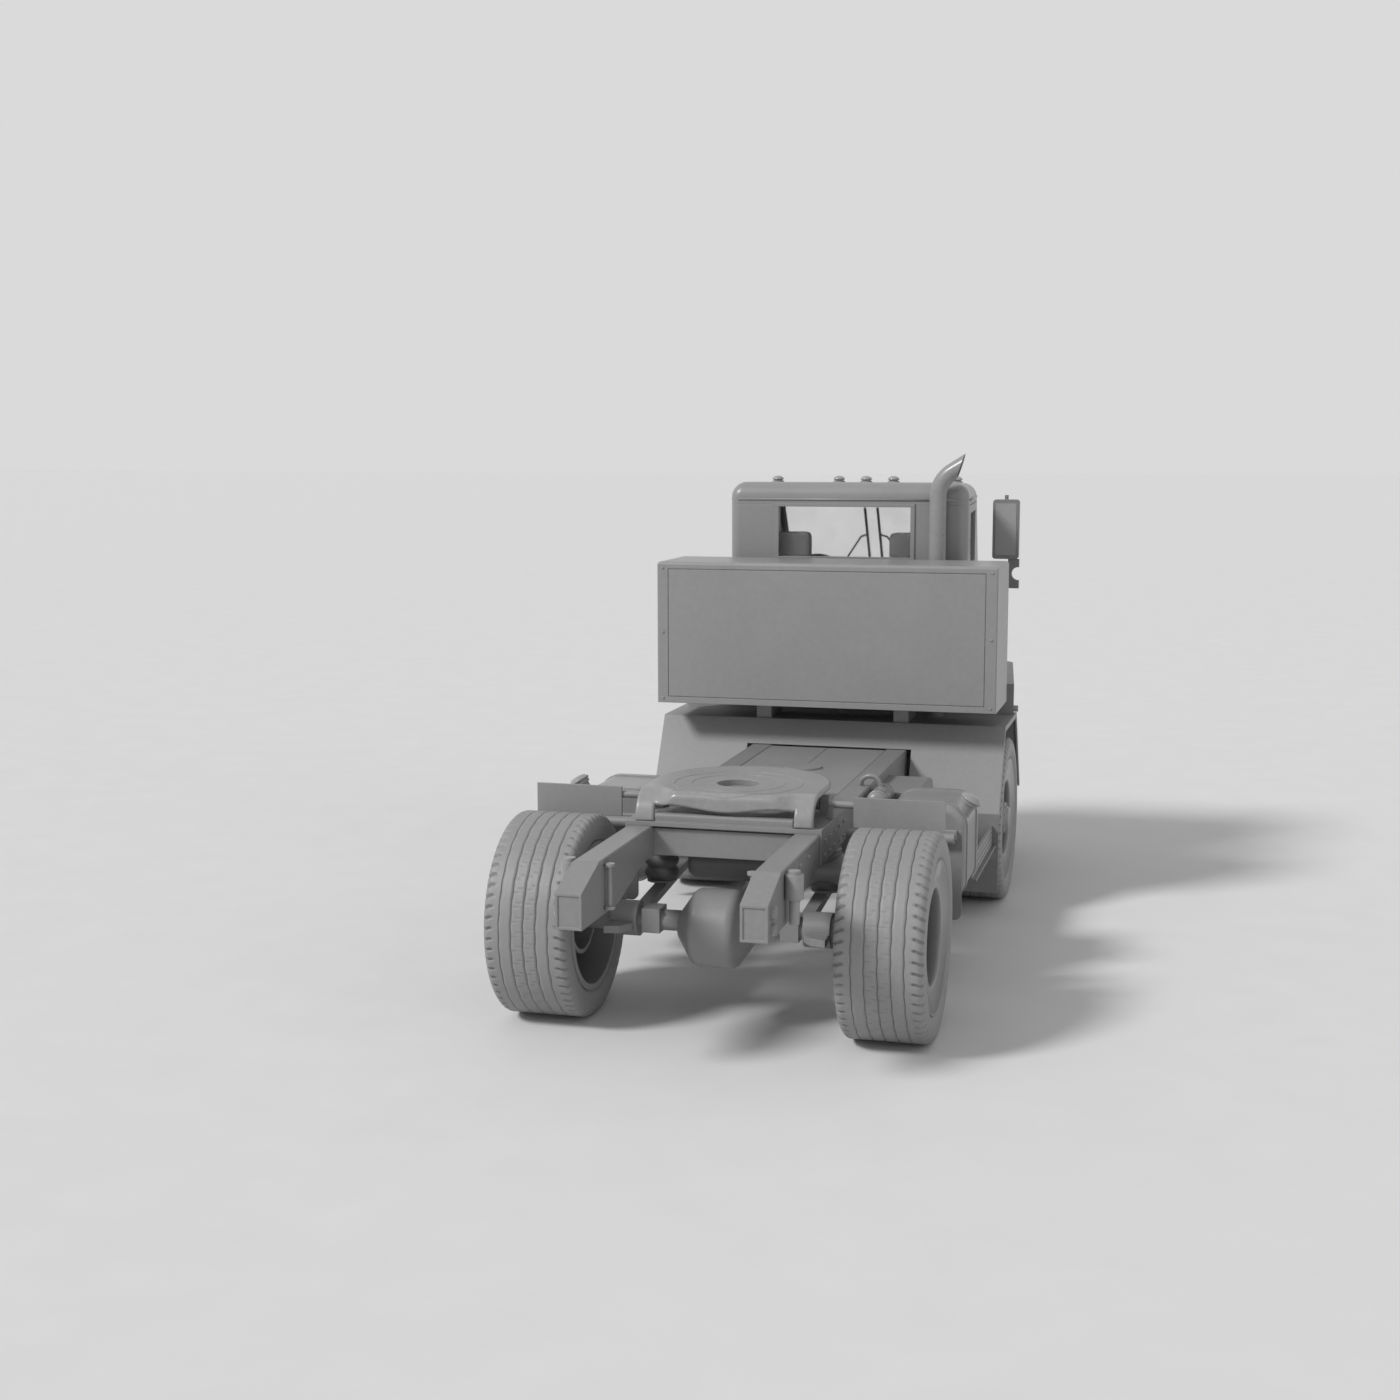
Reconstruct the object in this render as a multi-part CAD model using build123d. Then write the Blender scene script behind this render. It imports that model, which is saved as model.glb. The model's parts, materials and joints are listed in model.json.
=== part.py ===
from build123d import *
import math
import os

# Terminal tractor in millimetres: Y = 0 at the rear axle, +Y forward, +X right, Z = 0 on the ground

# Running lengths
wheelbase = 3270
rear_overhang = 1180          # rail tails behind the rear axle
front_overhang = 1740         # bumper face ahead of the front axle
front_axle = wheelbase
nose = front_axle + front_overhang
centre_shift = (rear_overhang - nose) / 2

# Wheels and tyres
tyre_radius = 550
tyre_half_width = 232
tread_half_width = 200
tyre_wall = 145               # rim flange to tread
rim_half_width = 222
rim_wall = 14
bead_step = 19                # flange above the bead's seat
bead_gap = 0.3
rear_half_track = 930
front_half_track = 940
dish_share = 0.617            # rear recess against the rim
front_dish_share = 0.415
disc_sheet = 20
rear_disc_x = 20              # outer face of the rear disc
front_disc_x = 110
hub_radius = 105
hub_reach = 85                # hub cap beyond the disc
drum_wall = 22
drum_gap = 60                 # brake drum inside the recess
spindle_radius = 45
running_gap = 0.5             # hub bore over spindle, pin in its eye
axle_z = tyre_radius
rim_radius = tyre_radius - tyre_wall
barrel_radius = rim_radius - bead_step

# Ladder frame
rail_inner = 390
rail_width = 136
rail_top = 1060
rail_depth = 165
rail_bevel = 6
rail_outer = rail_inner + rail_width
rail_bottom = rail_top - rail_depth
tail_depth = 180              # end face of a tail
tail_drop = 100               # top of the tail's end below the rail's top
tail_slope_length = 280
tail_belly = rail_bottom - 115
tail_belly_front = -600
tail_belly_rise = 420
tail_rim = 14
tail_recess = 6
front_rail_shift = 70         # rails step inward beside the steered wheels
joggle_length = 150
joggle_start = front_axle - 420
cross_top_gap = 14            # cross members below the rails' top
cross_depth = 146
cross_width = 80
deck_thickness = 10
deck_start = 1200
deck_seam = 4
deck_cover_radius = 120

# Fifth wheel
base_length = 725
base_back = -5
base_thickness = 25
base_wing = 12                # side plates beside the rails
base_top = rail_top + base_thickness
plate_rise = 165              # top of the plate over its base
plate_top = base_top + plate_rise
plate_thickness = 45
plate_under = plate_top - plate_thickness
plate_half_width = 488
plate_front_centre = 430      # centre of the round front
plate_round = 16
kingpin_y = 350
kingpin_hole_radius = 117
pivot_y = 450                 # tilt pin
pin_radius = 22
pin_height = base_top + 65
leg_width = 105
leg_bend = 190                # length of a leg's curve
leg_foot = 30
lip_droop = 63
lip_sheet = 36
seat_gap = 0.5                # plate's legs over the base plate
ear_width = 36
ear_outer = plate_half_width - 52
ear_inner = ear_outer - ear_width
stand_inner = ear_outer + 6
stand_width = 48

# Rear axle
diff_radius = 208
diff_y = -95
diff_half = 110
diff_flank = 205
diff_round = 50
tube_radius = 56
pinion_end = 330
pinion_radius = 75
collar_radius = 95
collar_inner = rail_inner + 65
collar_outer = 600
spring_seat = 70
spring_radius = 50
rod_x = rail_inner + 65
rod_half = 35
rod_front = 1000
rod_front_z = axle_z + 140
hanger_half = 30

# Fittings on the tails
buffer_y = -820
buffer_radius = 46
boss_y = -1105
boss_radius = 30

# Air tank across the frame
air_tank_radius = 92
air_tank_z = rail_bottom - 120
air_tank_left = -300
air_tank_right = 600

# Drive line
gearbox_back = wheelbase * 0.581
gearbox_z = axle_z + 190
gearbox_half = 180
engine_back = front_axle - 305
engine_front = front_axle + 730
engine_half = 290
engine_low = 630
engine_high = rail_top + 120
shaft_radius = 42

# Tanks, box and steps beside the frame
tank_inner = rail_outer + 164
tank_width = 470
tank_back = wheelbase * 0.306
tank_length = 570
tank_height = 550
tank_top = rail_top - 10
tank_round = 120
tank_end_round = 45
strap_width = 50
strap_rise = 7
strap_inset = 75
filler_radius = 46
tank_outer = tank_inner + tank_width
tank_foot = tank_top - tank_height
box_back = tank_back + tank_length + 50
box_width = 274
box_length = wheelbase * 0.174
box_height = 360
box_top = rail_top - 60
bottle_radius = 58
bottle_length = 360
bottle_x = rail_outer + 75
bottle_z = rail_top - 55
pipe_radius = 15
step_outer = tank_outer - 30
step_height = 140
step_top = tank_foot + 125
step_sheet = 15
step_lip = 26

# Rear mudguards and flaps
guard_plate_y = 288
guard_plate_height = 167
guard_plate_inner = rail_outer + 124
guard_plate_outer = rear_half_track + 215
guard_plate_sheet = 12
guard_clearance = 26          # plate over the tyre
guard_bar_radius = 20
flap_y = tyre_radius + 165
flap_inner = rear_half_track - 240
flap_sheet = 8
flap_top = 970
flap_length = 504
flap_corner = 40
front_flap_sheet = 14
front_flap_foot = 180

# Front mudguards: one bent sheet over both front wheels
guard_half_width = 1170
flap_outer = guard_half_width + 10
guard_top = 2 * tyre_radius + 128
guard_flat = tyre_radius - 200  # flat top behind and ahead of the front axle
guard_slope_length = 300
guard_slope_drop = 550
guard_sheet = 18
guard_lip = 34                # turned edge at the outer sides
lip_width = 12
arch_inner = 560
guard_low = guard_top - guard_slope_drop

# Front axle and steering
kingpin_x = front_half_track - 40
fist_radius = 50
fist_half = 55
lug_gap = 5
lug_height = 50
lug_radius = 55
web_sheet = 34
arm_length = 170
arm_sheet = 32
beam_low = axle_z - 150
beam_height = 110
beam_half_depth = 45
beam_drop_x = kingpin_x - 300
tie_z = axle_z - 130
tie_radius = 14
tie_eye_radius = 28
tie_eye_height = 36
tie_pin_radius = 12
spring_reach = 520
leaf_sheet = 26
leaf_half = 30
leaf_count = 3

# Cab
cab_back = front_axle + 150
cab_nose = nose - 150
cab_back_half_width = 840
cab_front_half_width = 735
cab_wall = 50
base_rise = 212               # broad base above the mudguards
cab_height = 1375
cab_floor_z = guard_top + base_rise
cab_roof_z = cab_floor_z + cab_height
screen_rake = 460             # run of the windscreen from roof to foot
screen_foot_z = cab_roof_z - 765
screen_foot_y = cab_nose - 30
screen_top_y = screen_foot_y - screen_rake
screen_half_width = 680
screen_slope = screen_rake / (cab_roof_z - screen_foot_z)
nose_fold = 260               # windscreen foot to the upright nose
roof_round = 100
roof_fall = 24                # roof lower at the windscreen than at the back
back_round = 70
door_back = cab_back + 140
door_front = screen_top_y + 30
door_sill = cab_floor_z + cab_wall
door_head = cab_roof_z - 155
door_gap = 6
window_sill = door_sill + 640
window_head = door_head - 60
window_back = door_back + 90
window_front = door_front - 110
back_window_half = 462
back_window_shift = -20         # towards the driver
back_window_low = window_sill + 170
back_window_high = door_head - 15
glass_thickness = 8
glass_inset = 20
hinge_offset = 16
hinge_radius = 12
hinge_half = 25
hinge_post = 36
hinge_shares = (0.234, 0.859)  # hinges between door sill and window
handle_height = 25
handle_length = 100

# Locker and stack behind the cab
stack_room = 160              # locker to cab
locker_depth = 628
locker_half_width = 1136
locker_height = 948
locker_floor = guard_top + 124
locker_top = locker_floor + locker_height
locker_front = cab_back - stack_room
locker_back = locker_front - locker_depth
locker_round = 22
panel_rim = 75
panel_groove = 5
bearer_width = 100
stack_x = 640
stack_y = cab_back - stack_room / 2
stack_radius = 58
stack_wall = 5
stack_bend_z = cab_roof_z - 95
stack_bend_radius = 200
stack_turn = 58               # degrees
stack_tip = 260
stack_cut = 18                # slant of the mouth from upright, degrees

# Broad base under the cab, bumper, grille and lamps
base_half_width = guard_half_width - 10
base_front_half_width = 1005
base_sheet = 30
base_corner = 140
cab_base_back = cab_back + 80
cab_base_foot = guard_low - 118
bumper_depth = 130
bumper_height = 260
bumper_round = 90
base_front = nose - bumper_depth
rail_front = base_front - base_sheet
pocket_depth = 190            # boarding steps let into the base
pocket_length = 380
pocket_height = 210
pocket_pitch = 290
pocket_sheet = 12
grille_half = 420
grille_low = cab_base_foot + 160
grille_high = grille_low + 430
grille_slats = 9
headlamp_x = 720
headlamp_z = grille_low + 240
headlamp_radius = 95
roof_lamp_y = screen_top_y - 220
roof_lamp_x = (-655, -200, 0, 200, 655)
roof_lamp_radius = 34
roof_lamp_height = 24
roof_lamp_brim = 44
side_lamp_radius = 22

# Mirrors and cab fittings
mirror_x = cab_back_half_width + 135
mirror_y = door_front + 80
mirror_half = 95
mirror_depth = 60
mirror_height = 433
mirror_low = window_sill + 105
mirror_arm_z = window_sill - 110
wiper_out = 14
seat_x = 400
seat_half = 235
seat_back_y = cab_back + 80
seat_pad = 110
seat_depth = 560
cushion_top = door_sill + 495
seat_top = cushion_top + 285
rest_half = 120
rest_height = 195
pad_round = 30
wheel_ring = 205
wheel_grip = 15


def block(x0, x1, y0, y1, z0, z1):
    return Pos((x0 + x1) / 2, (y0 + y1) / 2, (z0 + z1) / 2) * Box(x1 - x0, y1 - y0, z1 - z0)


# Profile in (y, z) drawn out along X
def along_x(points, x0, x1):
    face = make_face(Polyline(*[(x0, y, z) for y, z in points], close=True))
    return extrude(face, amount=x1 - x0, dir=(1, 0, 0))


# Profile in (x, y) drawn out along Z
def along_z(points, z0, z1):
    face = make_face(Polyline(*[(x, y, z0) for x, y in points], close=True))
    return extrude(face, amount=z1 - z0, dir=(0, 0, 1))


# Round bar between two points
def bar(start, end, radius):
    run = Vector(*end) - Vector(*start)
    return Solid.make_cylinder(radius, run.length, Plane(origin=start, z_dir=run))


def upright(x, y, z0, z1, radius):
    return Pos(x, y, (z0 + z1) / 2) * Cylinder(radius, z1 - z0)


# Solid turned about X from (x, radius) points
def turned(points):
    return revolve(make_face(Polyline(*points, close=True)), axis=Axis.X)


def mirrored(shape):
    return mirror(shape, Plane.YZ)


def pair(shape):
    return shape + mirrored(shape)


def joined(shapes):
    total = shapes[0]
    for shape in shapes[1:]:
        total = total + shape
    return total


# Rails with dropped tails and a step inward at the steered wheels
def frame_rails():
    tail = -rear_overhang
    tail_top = rail_top - tail_drop
    side = along_x([(tail, tail_top), (tail + tail_slope_length, rail_top), (nose, rail_top),
                    (nose, rail_bottom), (tail_belly_front + tail_belly_rise, rail_bottom),
                    (tail_belly_front, tail_belly), (tail, tail_top - tail_depth)], 0, rail_outer + 1)
    step = joggle_start + joggle_length
    near, far = rail_inner - front_rail_shift, rail_outer - front_rail_shift
    plan = along_z([(rail_inner, tail), (rail_outer, tail), (rail_outer, joggle_start), (far, step),
                    (far, rail_front), (near, rail_front), (near, step), (rail_inner, joggle_start)],
                   0, rail_top)
    rail = side & plan
    rail = chamfer(rail.faces().sort_by(Axis.Z)[-1].edges().filter_by(Axis.Y), rail_bevel)
    recess = block(rail_inner + tail_rim, rail_outer - tail_rim, tail, tail + tail_recess,
                   tail_top - tail_depth + tail_rim, tail_top - tail_rim)
    return pair(rail - recess)


def cross_members():
    inside = rail_inner
    front_inside = rail_inner - front_rail_shift
    rows = (  # middle y, width, half length
        (base_back + 35, cross_width / 4, inside),
        (pivot_y, cross_width, inside),
        (deck_start + cross_width / 2, cross_width, inside),
        (wheelbase * 0.6055, cross_width, inside),
        (joggle_start - 130, cross_width, inside),
        (rail_front - 60, cross_width, front_inside),
    )
    top = rail_top - cross_top_gap
    members = []
    for y, width, half in rows:
        members.append(block(-half, half, y - width / 2, y + width / 2, top - cross_depth, top))
    hanger = block(rod_x - rod_half - 10, rod_x + rod_half + 10, rod_front - hanger_half,
                   rod_front + hanger_half, rod_front_z - 40, rail_bottom)
    return joined(members) + pair(hanger)


# Rear face of the front mudguard at height z
def panel_y(z):
    crease = front_axle - guard_flat
    return crease - (guard_top - z) * guard_slope_length / guard_slope_drop


def deck_plates():
    low = rail_top - cross_top_gap
    top = low + deck_thickness
    end = panel_y(low) - 6
    plate = block(deck_seam / 2, rail_inner - 1, deck_start, end, low, top)
    cover = upright(0, (deck_start + end) / 2, top, top + 12, deck_cover_radius)
    return pair(plate) + cover


def fifth_wheel_base():
    half = rail_outer + base_wing
    body = block(-half, half, base_back, base_length, rail_top, base_top)
    low = rail_bottom + 5
    side = along_x([(base_back, rail_top), (base_length, rail_top), (base_length, low + 55),
                    (base_length - 120, low), (base_back, low)], rail_outer, half)
    bolster_half = plate_half_width - leg_width - 5
    bolster = block(-bolster_half, bolster_half, base_back + 20, base_back + 90, base_top, base_top + 45)
    bolster = fillet(bolster.edges().filter_by(Axis.X).group_by(Axis.Z)[-1], 20)
    outer = stand_inner + stand_width
    stand = along_x([(pivot_y - 70, base_top), (pivot_y + 70, base_top), (pivot_y + 36, pin_height),
                     (pivot_y - 36, pin_height)], stand_inner, outer)
    stand += bar((stand_inner, pivot_y, pin_height), (outer, pivot_y, pin_height), 38)
    stand += bar((ear_inner, pivot_y, pin_height), (stand_inner, pivot_y, pin_height), pin_radius)
    return body + bolster + pair(side) + pair(stand)


# Arc that leaves a level line at the bend and has fallen by drop at the end of run
def droop(run, drop, start_z):
    radius = (run ** 2 + drop ** 2) / (2 * drop)
    half_turn = math.asin(run / radius) / 2
    middle = (leg_bend - radius * math.sin(half_turn), start_z - radius * (1 - math.cos(half_turn)))
    return ThreePointArc((leg_bend, start_z), middle, (leg_bend - run, start_z - drop))


# Bowed legs that carry the rear of the plate down to its base
def plate_legs():
    back = plate_thickness
    foot = base_top + seat_gap
    upper = droop(leg_bend, plate_top - foot - leg_foot, plate_top)
    lower = droop(leg_bend - back, plate_under - foot - leg_foot + 10, plate_under)
    face = make_face([
        upper, Line((0, foot + leg_foot), (0, foot)), Line((0, foot), (back, foot)),
        Line((back, foot), (back, foot + leg_foot - 10)), lower,
        Line((leg_bend, plate_under), (leg_bend, plate_top))])
    return pair(extrude(Plane.YZ.offset(plate_half_width - leg_width) * face, amount=leg_width))


def fifth_wheel_plate():
    half = plate_half_width
    inside = half - leg_width
    back = plate_thickness
    disc = upright(0, plate_front_centre, plate_under, plate_top, half)
    disc -= block(-half, half, plate_front_centre - half, plate_front_centre, 0, plate_top)
    plate = disc + block(-half, half, leg_bend, plate_front_centre, plate_under, plate_top)
    plate += block(-inside, inside, back, leg_bend, plate_under, plate_top)
    plate = fillet(plate.edges().filter_by(GeomType.CIRCLE).group_by(Axis.Z)[-1], plate_round)
    crown_z = plate_top - 12
    lip_z = plate_under - 18
    lip_face = make_face([
        Line((-inside, crown_z), (inside, crown_z)), Line((inside, crown_z), (inside, lip_z)),
        ThreePointArc((inside, lip_z), (0, plate_under - lip_droop), (-inside, lip_z)),
        Line((-inside, lip_z), (-inside, crown_z))])
    lip_plane = Plane(origin=(0, back, 0), x_dir=(1, 0, 0), z_dir=(0, -1, 0))
    lip = extrude(lip_plane * lip_face, amount=lip_sheet)
    crown = block(-inside, inside, 14, back, crown_z, plate_top)
    ear = block(ear_inner, ear_outer, pivot_y - 45, pivot_y + 45, pin_height, plate_under)
    ear += bar((ear_inner, pivot_y, pin_height), (ear_outer, pivot_y, pin_height), 45)
    ear -= bar((ear_inner - 1, pivot_y, pin_height), (ear_outer + 1, pivot_y, pin_height),
               pin_radius + running_gap)
    body = plate + plate_legs() + lip + crown + pair(ear)
    hole = upright(0, kingpin_y, plate_under - plate_thickness, plate_top + 1, kingpin_hole_radius)
    return body - hole


def rear_axle():
    bulb = turned([(-diff_flank, 0), (-diff_flank, tube_radius + 14), (-diff_half, diff_radius),
                   (diff_half, diff_radius), (diff_flank, tube_radius + 14), (diff_flank, 0)])
    bulb = fillet(bulb.edges().filter_by(GeomType.CIRCLE).group_by(SortBy.RADIUS)[-1], diff_round)
    body = Pos(0, diff_y, 0) * bulb
    body += bar((-collar_outer - 60, 0, 0), (collar_outer + 60, 0, 0), tube_radius)
    body += bar((0, 0, 0), (0, pinion_end, 0), pinion_radius)
    side = bar((collar_inner, 0, 0), (collar_outer, 0, 0), collar_radius)
    side += bar((collar_outer, 0, 0), (rear_half_track - 80, 0, 0), tube_radius + 14)
    side += bar((collar_outer, 0, 0), (rear_half_track + 55, 0, 0), spindle_radius)
    side += along_z([(collar_outer - 130, 0), (collar_outer - 130, -120), (collar_outer - 80, -190),
                     (collar_outer, -210), (collar_outer, -150), (collar_outer - 20, 0)], -40, 0)
    side += block(rail_inner - 60, rail_inner + 40, -spring_seat, spring_seat, -60, spring_seat)
    rise = rod_front_z - axle_z
    rod_end = rod_front - hanger_half
    side += along_x([(0, 20), (rod_end, rise - 23), (rod_end, rise + 23), (0, 66)],
                    rod_x - rod_half, rod_x + rod_half)
    return Pos(0, 0, axle_z) * (body + pair(side))


def rear_springs():
    return pair(upright(rail_inner, 0, axle_z + spring_seat, rail_bottom, spring_radius))


# Bottles, posts and bosses on the rail tails
def rail_buffers():
    x = rail_outer + buffer_radius
    inner = rail_inner - 26
    bottle = upright(x, buffer_y, rail_top - 145, rail_top - 25, buffer_radius)
    bottle += upright(x, buffer_y, rail_top - 25, rail_top - 5, buffer_radius - 16)
    bottle += upright(x, buffer_y, rail_top - 270, rail_top - 145, buffer_radius - 20)
    post = upright(inner, buffer_y, rail_top - 240, rail_top - 40, 12)
    for z in (rail_top - 248, rail_top - 32):
        post += upright(inner, buffer_y, z - 8, z + 8, 26)
    parts = pair(bottle) + pair(post)
    for z in (rail_top - 230, rail_top - 150):
        parts += pair(bar((rail_outer, boss_y, z), (rail_outer + 22, boss_y, z), boss_radius))
    return parts


def air_tank():
    tank = bar((air_tank_left, pivot_y, air_tank_z), (air_tank_right, pivot_y, air_tank_z), air_tank_radius)
    tank = fillet(tank.edges().filter_by(GeomType.CIRCLE), 40)
    cross_bottom = rail_top - cross_top_gap - cross_depth
    for x, top in ((air_tank_left + 75, cross_bottom), (rail_inner + 65, rail_bottom)):
        tank += block(x - 25, x + 25, pivot_y - 25, pivot_y + 25, air_tank_z, top)
    return tank


def propeller_shaft():
    rise = (gearbox_z - axle_z) / (gearbox_back - pinion_end)
    spare = 40
    shaft = bar((0, pinion_end - spare, axle_z - spare * rise),
                (0, gearbox_back + spare, gearbox_z + spare * rise), shaft_radius)
    return shaft & block(-100, 100, pinion_end, gearbox_back, 0, rail_top)


def engine():
    body = block(-engine_half, engine_half, engine_back, engine_front, engine_low, engine_high)
    body += block(-gearbox_half, gearbox_half, gearbox_back, engine_back, gearbox_z - 130, gearbox_z + 130)
    middle = (engine_back + engine_front) / 2
    mount = block(engine_half, rail_inner - front_rail_shift, middle - 50, middle + 50,
                  rail_bottom + 5, rail_bottom + 105)
    return body + pair(mount)


def fuel_tanks():
    middle = Pos((tank_inner + tank_outer) / 2, (tank_foot + tank_top) / 2)
    face = middle * RectangleRounded(tank_width, tank_height, tank_round)
    band = middle * RectangleRounded(tank_width + 2 * strap_rise, tank_height + 2 * strap_rise,
                                     tank_round + strap_rise)
    end = tank_back + tank_length

    def cross_plane(y):
        return Plane(origin=(0, y, 0), x_dir=(1, 0, 0), z_dir=(0, -1, 0))
    tank = extrude(cross_plane(end) * face, amount=tank_length)
    ends = tank.edges().group_by(Axis.Y)
    tank = fillet(ends[0] + ends[-1], tank_end_round)
    half = strap_width / 2
    for y in (tank_back + strap_inset, end - strap_inset):
        tank += extrude(cross_plane(y + half) * band, amount=strap_width)
        tank += block(rail_outer, tank_inner + 30, y - half, y + half, rail_bottom + 2, rail_bottom + 45)
    cap_y = tank_back + 100
    mouth = (tank_outer + 2, cap_y, tank_top + 5)
    tank += bar((tank_outer - 62, cap_y, tank_top - 95), mouth, filler_radius)
    tank += bar(mouth, (tank_outer + 20, cap_y, tank_top + 34), filler_radius + 11)
    return pair(tank)


def battery_box():
    body = block(rail_outer, rail_outer + box_width, box_back, box_back + box_length,
                 box_top - box_height, box_top)
    return fillet(body.edges().filter_by(Axis.Y).group_by(Axis.X)[-1], 30)


# Air bottle beside the rail with a hooped pipe from the rail's top
def air_bottle():
    start = tank_back + 230
    bottle = bar((bottle_x, start, bottle_z), (bottle_x, start + bottle_length, bottle_z), bottle_radius)
    bottle = fillet(bottle.edges().filter_by(GeomType.CIRCLE), 20)
    for y in (start + 80, start + bottle_length - 80):
        bottle += block(rail_outer, bottle_x, y - 20, y + 20, bottle_z - 20, bottle_z + 20)
    y = start + bottle_length * 0.6
    near, far = rail_outer - 56, bottle_x - 26
    top = rail_top + 60
    bottle += bar((near, y, rail_top), (near, y, top), pipe_radius)
    bottle += bar((near, y, top), (far, y, top), pipe_radius)
    bottle += bar((far, y, bottle_z), (far, y, top), pipe_radius)
    for x in (near, far):
        bottle += Pos(x, y, top) * Sphere(pipe_radius)
    return bottle


def side_steps():
    back = tank_back + tank_length + 12
    front = panel_y(guard_low) - front_flap_sheet - 4
    foot = step_top - step_height
    near = rail_outer - 60
    tread = block(step_outer - step_sheet, step_outer, back, front, foot, step_top)
    tread += block(step_outer, step_outer + step_lip, back, front, foot, foot + step_sheet)
    for y in (back + 80, front - 120):
        tread += block(near, step_outer - step_sheet, y, y + 40, foot, foot + 40)
        tread += block(near, near + 30, y, y + 40, foot, rail_bottom)
    return pair(tread)


def rear_mudguards():
    foot = axle_z + math.sqrt(tyre_radius ** 2 - guard_plate_y ** 2) + guard_clearance
    top = foot + guard_plate_height
    bar_y = guard_plate_y + guard_plate_sheet + guard_bar_radius - 4
    bar_z = top - 47
    plate = block(guard_plate_inner, guard_plate_outer, guard_plate_y,
                  guard_plate_y + guard_plate_sheet, foot, top)
    plate += bar((rail_outer - 16, bar_y, bar_z), (guard_plate_outer - 55, bar_y, bar_z), guard_bar_radius)
    plate += block(rail_outer - 18, rail_outer + 12, bar_y - 16, bar_y + 16, base_top, bar_z)
    hanger_y = flap_y - 30
    hanger_z = flap_top - 40
    hanger = bar((rail_outer + base_wing, hanger_y, hanger_z), (flap_outer - 40, hanger_y, hanger_z), 28)
    hanger += block(flap_inner, flap_outer - 30, hanger_y, flap_y, flap_top - 45, flap_top + 5)
    return pair(plate + hanger)


def mudflaps():
    rear = block(flap_inner, flap_outer, flap_y, flap_y + flap_sheet, flap_top - flap_length, flap_top)
    rear = fillet(rear.edges().filter_by(Axis.Y).group_by(Axis.Z)[0], flap_corner)
    y = panel_y(guard_low)
    front = block(arch_inner + 140, guard_half_width, y - front_flap_sheet, y, front_flap_foot,
                  guard_low + 20)
    return pair(rear) + pair(front)


def front_mudguard():
    back_crease = front_axle - guard_flat
    front_crease = front_axle + guard_flat
    path = Polyline((back_crease - guard_slope_length, guard_low), (back_crease, guard_top),
                    (front_crease, guard_top), (front_crease + guard_slope_length, guard_low))
    sheet = make_face(offset(path, amount=guard_sheet, side=Side.RIGHT))
    edge = make_face(offset(path, amount=guard_lip, side=Side.RIGHT))
    wing = extrude(Plane.YZ.offset(arch_inner) * sheet, amount=guard_half_width - arch_inner)
    wing += extrude(Plane.YZ.offset(guard_half_width - lip_width) * edge, amount=lip_width)
    middle = extrude(Plane.YZ.offset(-arch_inner) * sheet, amount=2 * arch_inner)
    middle -= block(-arch_inner, arch_inner, 0, back_crease, 0, rail_top + 4)
    middle -= block(-arch_inner, arch_inner, front_crease, nose, 0, guard_top + 1)
    return pair(wing) + middle


# Dropped beam with an eye for each king pin
def front_beam():
    low = beam_low
    high = axle_z - fist_half
    x = beam_drop_x
    half = [(x, low), (x + 90, high), (kingpin_x, high), (kingpin_x, high + beam_height),
            (x + 60, high + beam_height), (x - 30, low + beam_height)]
    points = half + [(-px, pz) for px, pz in reversed(half)]
    plane = Plane(origin=(0, front_axle + beam_half_depth, 0), x_dir=(1, 0, 0), z_dir=(0, -1, 0))
    beam = extrude(plane * make_face(Polyline(*points, close=True)), amount=2 * beam_half_depth)
    fist = upright(kingpin_x, front_axle, axle_z - fist_half, axle_z + fist_half, fist_radius)
    hole = upright(kingpin_x, front_axle, axle_z - 2 * fist_half, axle_z + 2 * fist_half,
                   pin_radius + running_gap)
    return beam + pair(fist) - pair(hole)


def front_springs():
    x = rail_inner - front_rail_shift + rail_width / 2
    seat = beam_low + beam_height
    leaves = []
    for n in range(leaf_count):
        half = spring_reach - 90 * n
        sag = 110 * (half / spring_reach) ** 2
        lift = seat + 12 + leaf_sheet * (leaf_count - 1 - n)
        end = lift + sag
        face = make_face([
            ThreePointArc((-half, end), (0, lift), (half, end)),
            Line((half, end), (half, end + leaf_sheet)),
            ThreePointArc((half, end + leaf_sheet), (0, lift + leaf_sheet), (-half, end + leaf_sheet)),
            Line((-half, end + leaf_sheet), (-half, end))])
        start = Plane.YZ.offset(x - leaf_half) * Pos(front_axle, 0)
        leaves.append(extrude(start * face, amount=2 * leaf_half))
    leaves.append(block(x - 45, x + 45, front_axle - 70, front_axle + 70, seat, seat + 30))
    for y in (front_axle - spring_reach + 30, front_axle + spring_reach - 30):
        leaves.append(block(x - leaf_half, x + leaf_half, y - 30, y + 30, seat + 180, rail_bottom))
    return pair(joined(leaves))


# Right-hand steering knuckle with spindle, king pin and steering arm
def knuckle():
    upper = axle_z + fist_half + lug_gap
    lower = axle_z - fist_half - lug_gap - lug_height
    web_x = kingpin_x + fist_radius + lug_gap
    web_end = web_x + web_sheet
    body = block(web_x, web_end, front_axle - 50, front_axle + 50, lower, upper + lug_height)
    for z in (lower, upper):
        body += upright(kingpin_x, front_axle, z, z + lug_height, lug_radius)
        body += block(kingpin_x, web_end, front_axle - 50, front_axle + 50, z, z + lug_height)
    body += upright(kingpin_x, front_axle, lower + 10, upper + 40, pin_radius)
    body += bar((web_x, front_axle, axle_z), (front_half_track + 145, front_axle, axle_z), spindle_radius)
    arm_y = front_axle - arm_length
    body += block(kingpin_x - 22, kingpin_x + 22, arm_y, front_axle - 40, lower, lower + arm_sheet)
    body += upright(kingpin_x, arm_y, lower, lower + arm_sheet, 30)
    body += upright(kingpin_x, arm_y, tie_z - 22, lower, tie_pin_radius)
    return body


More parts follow.
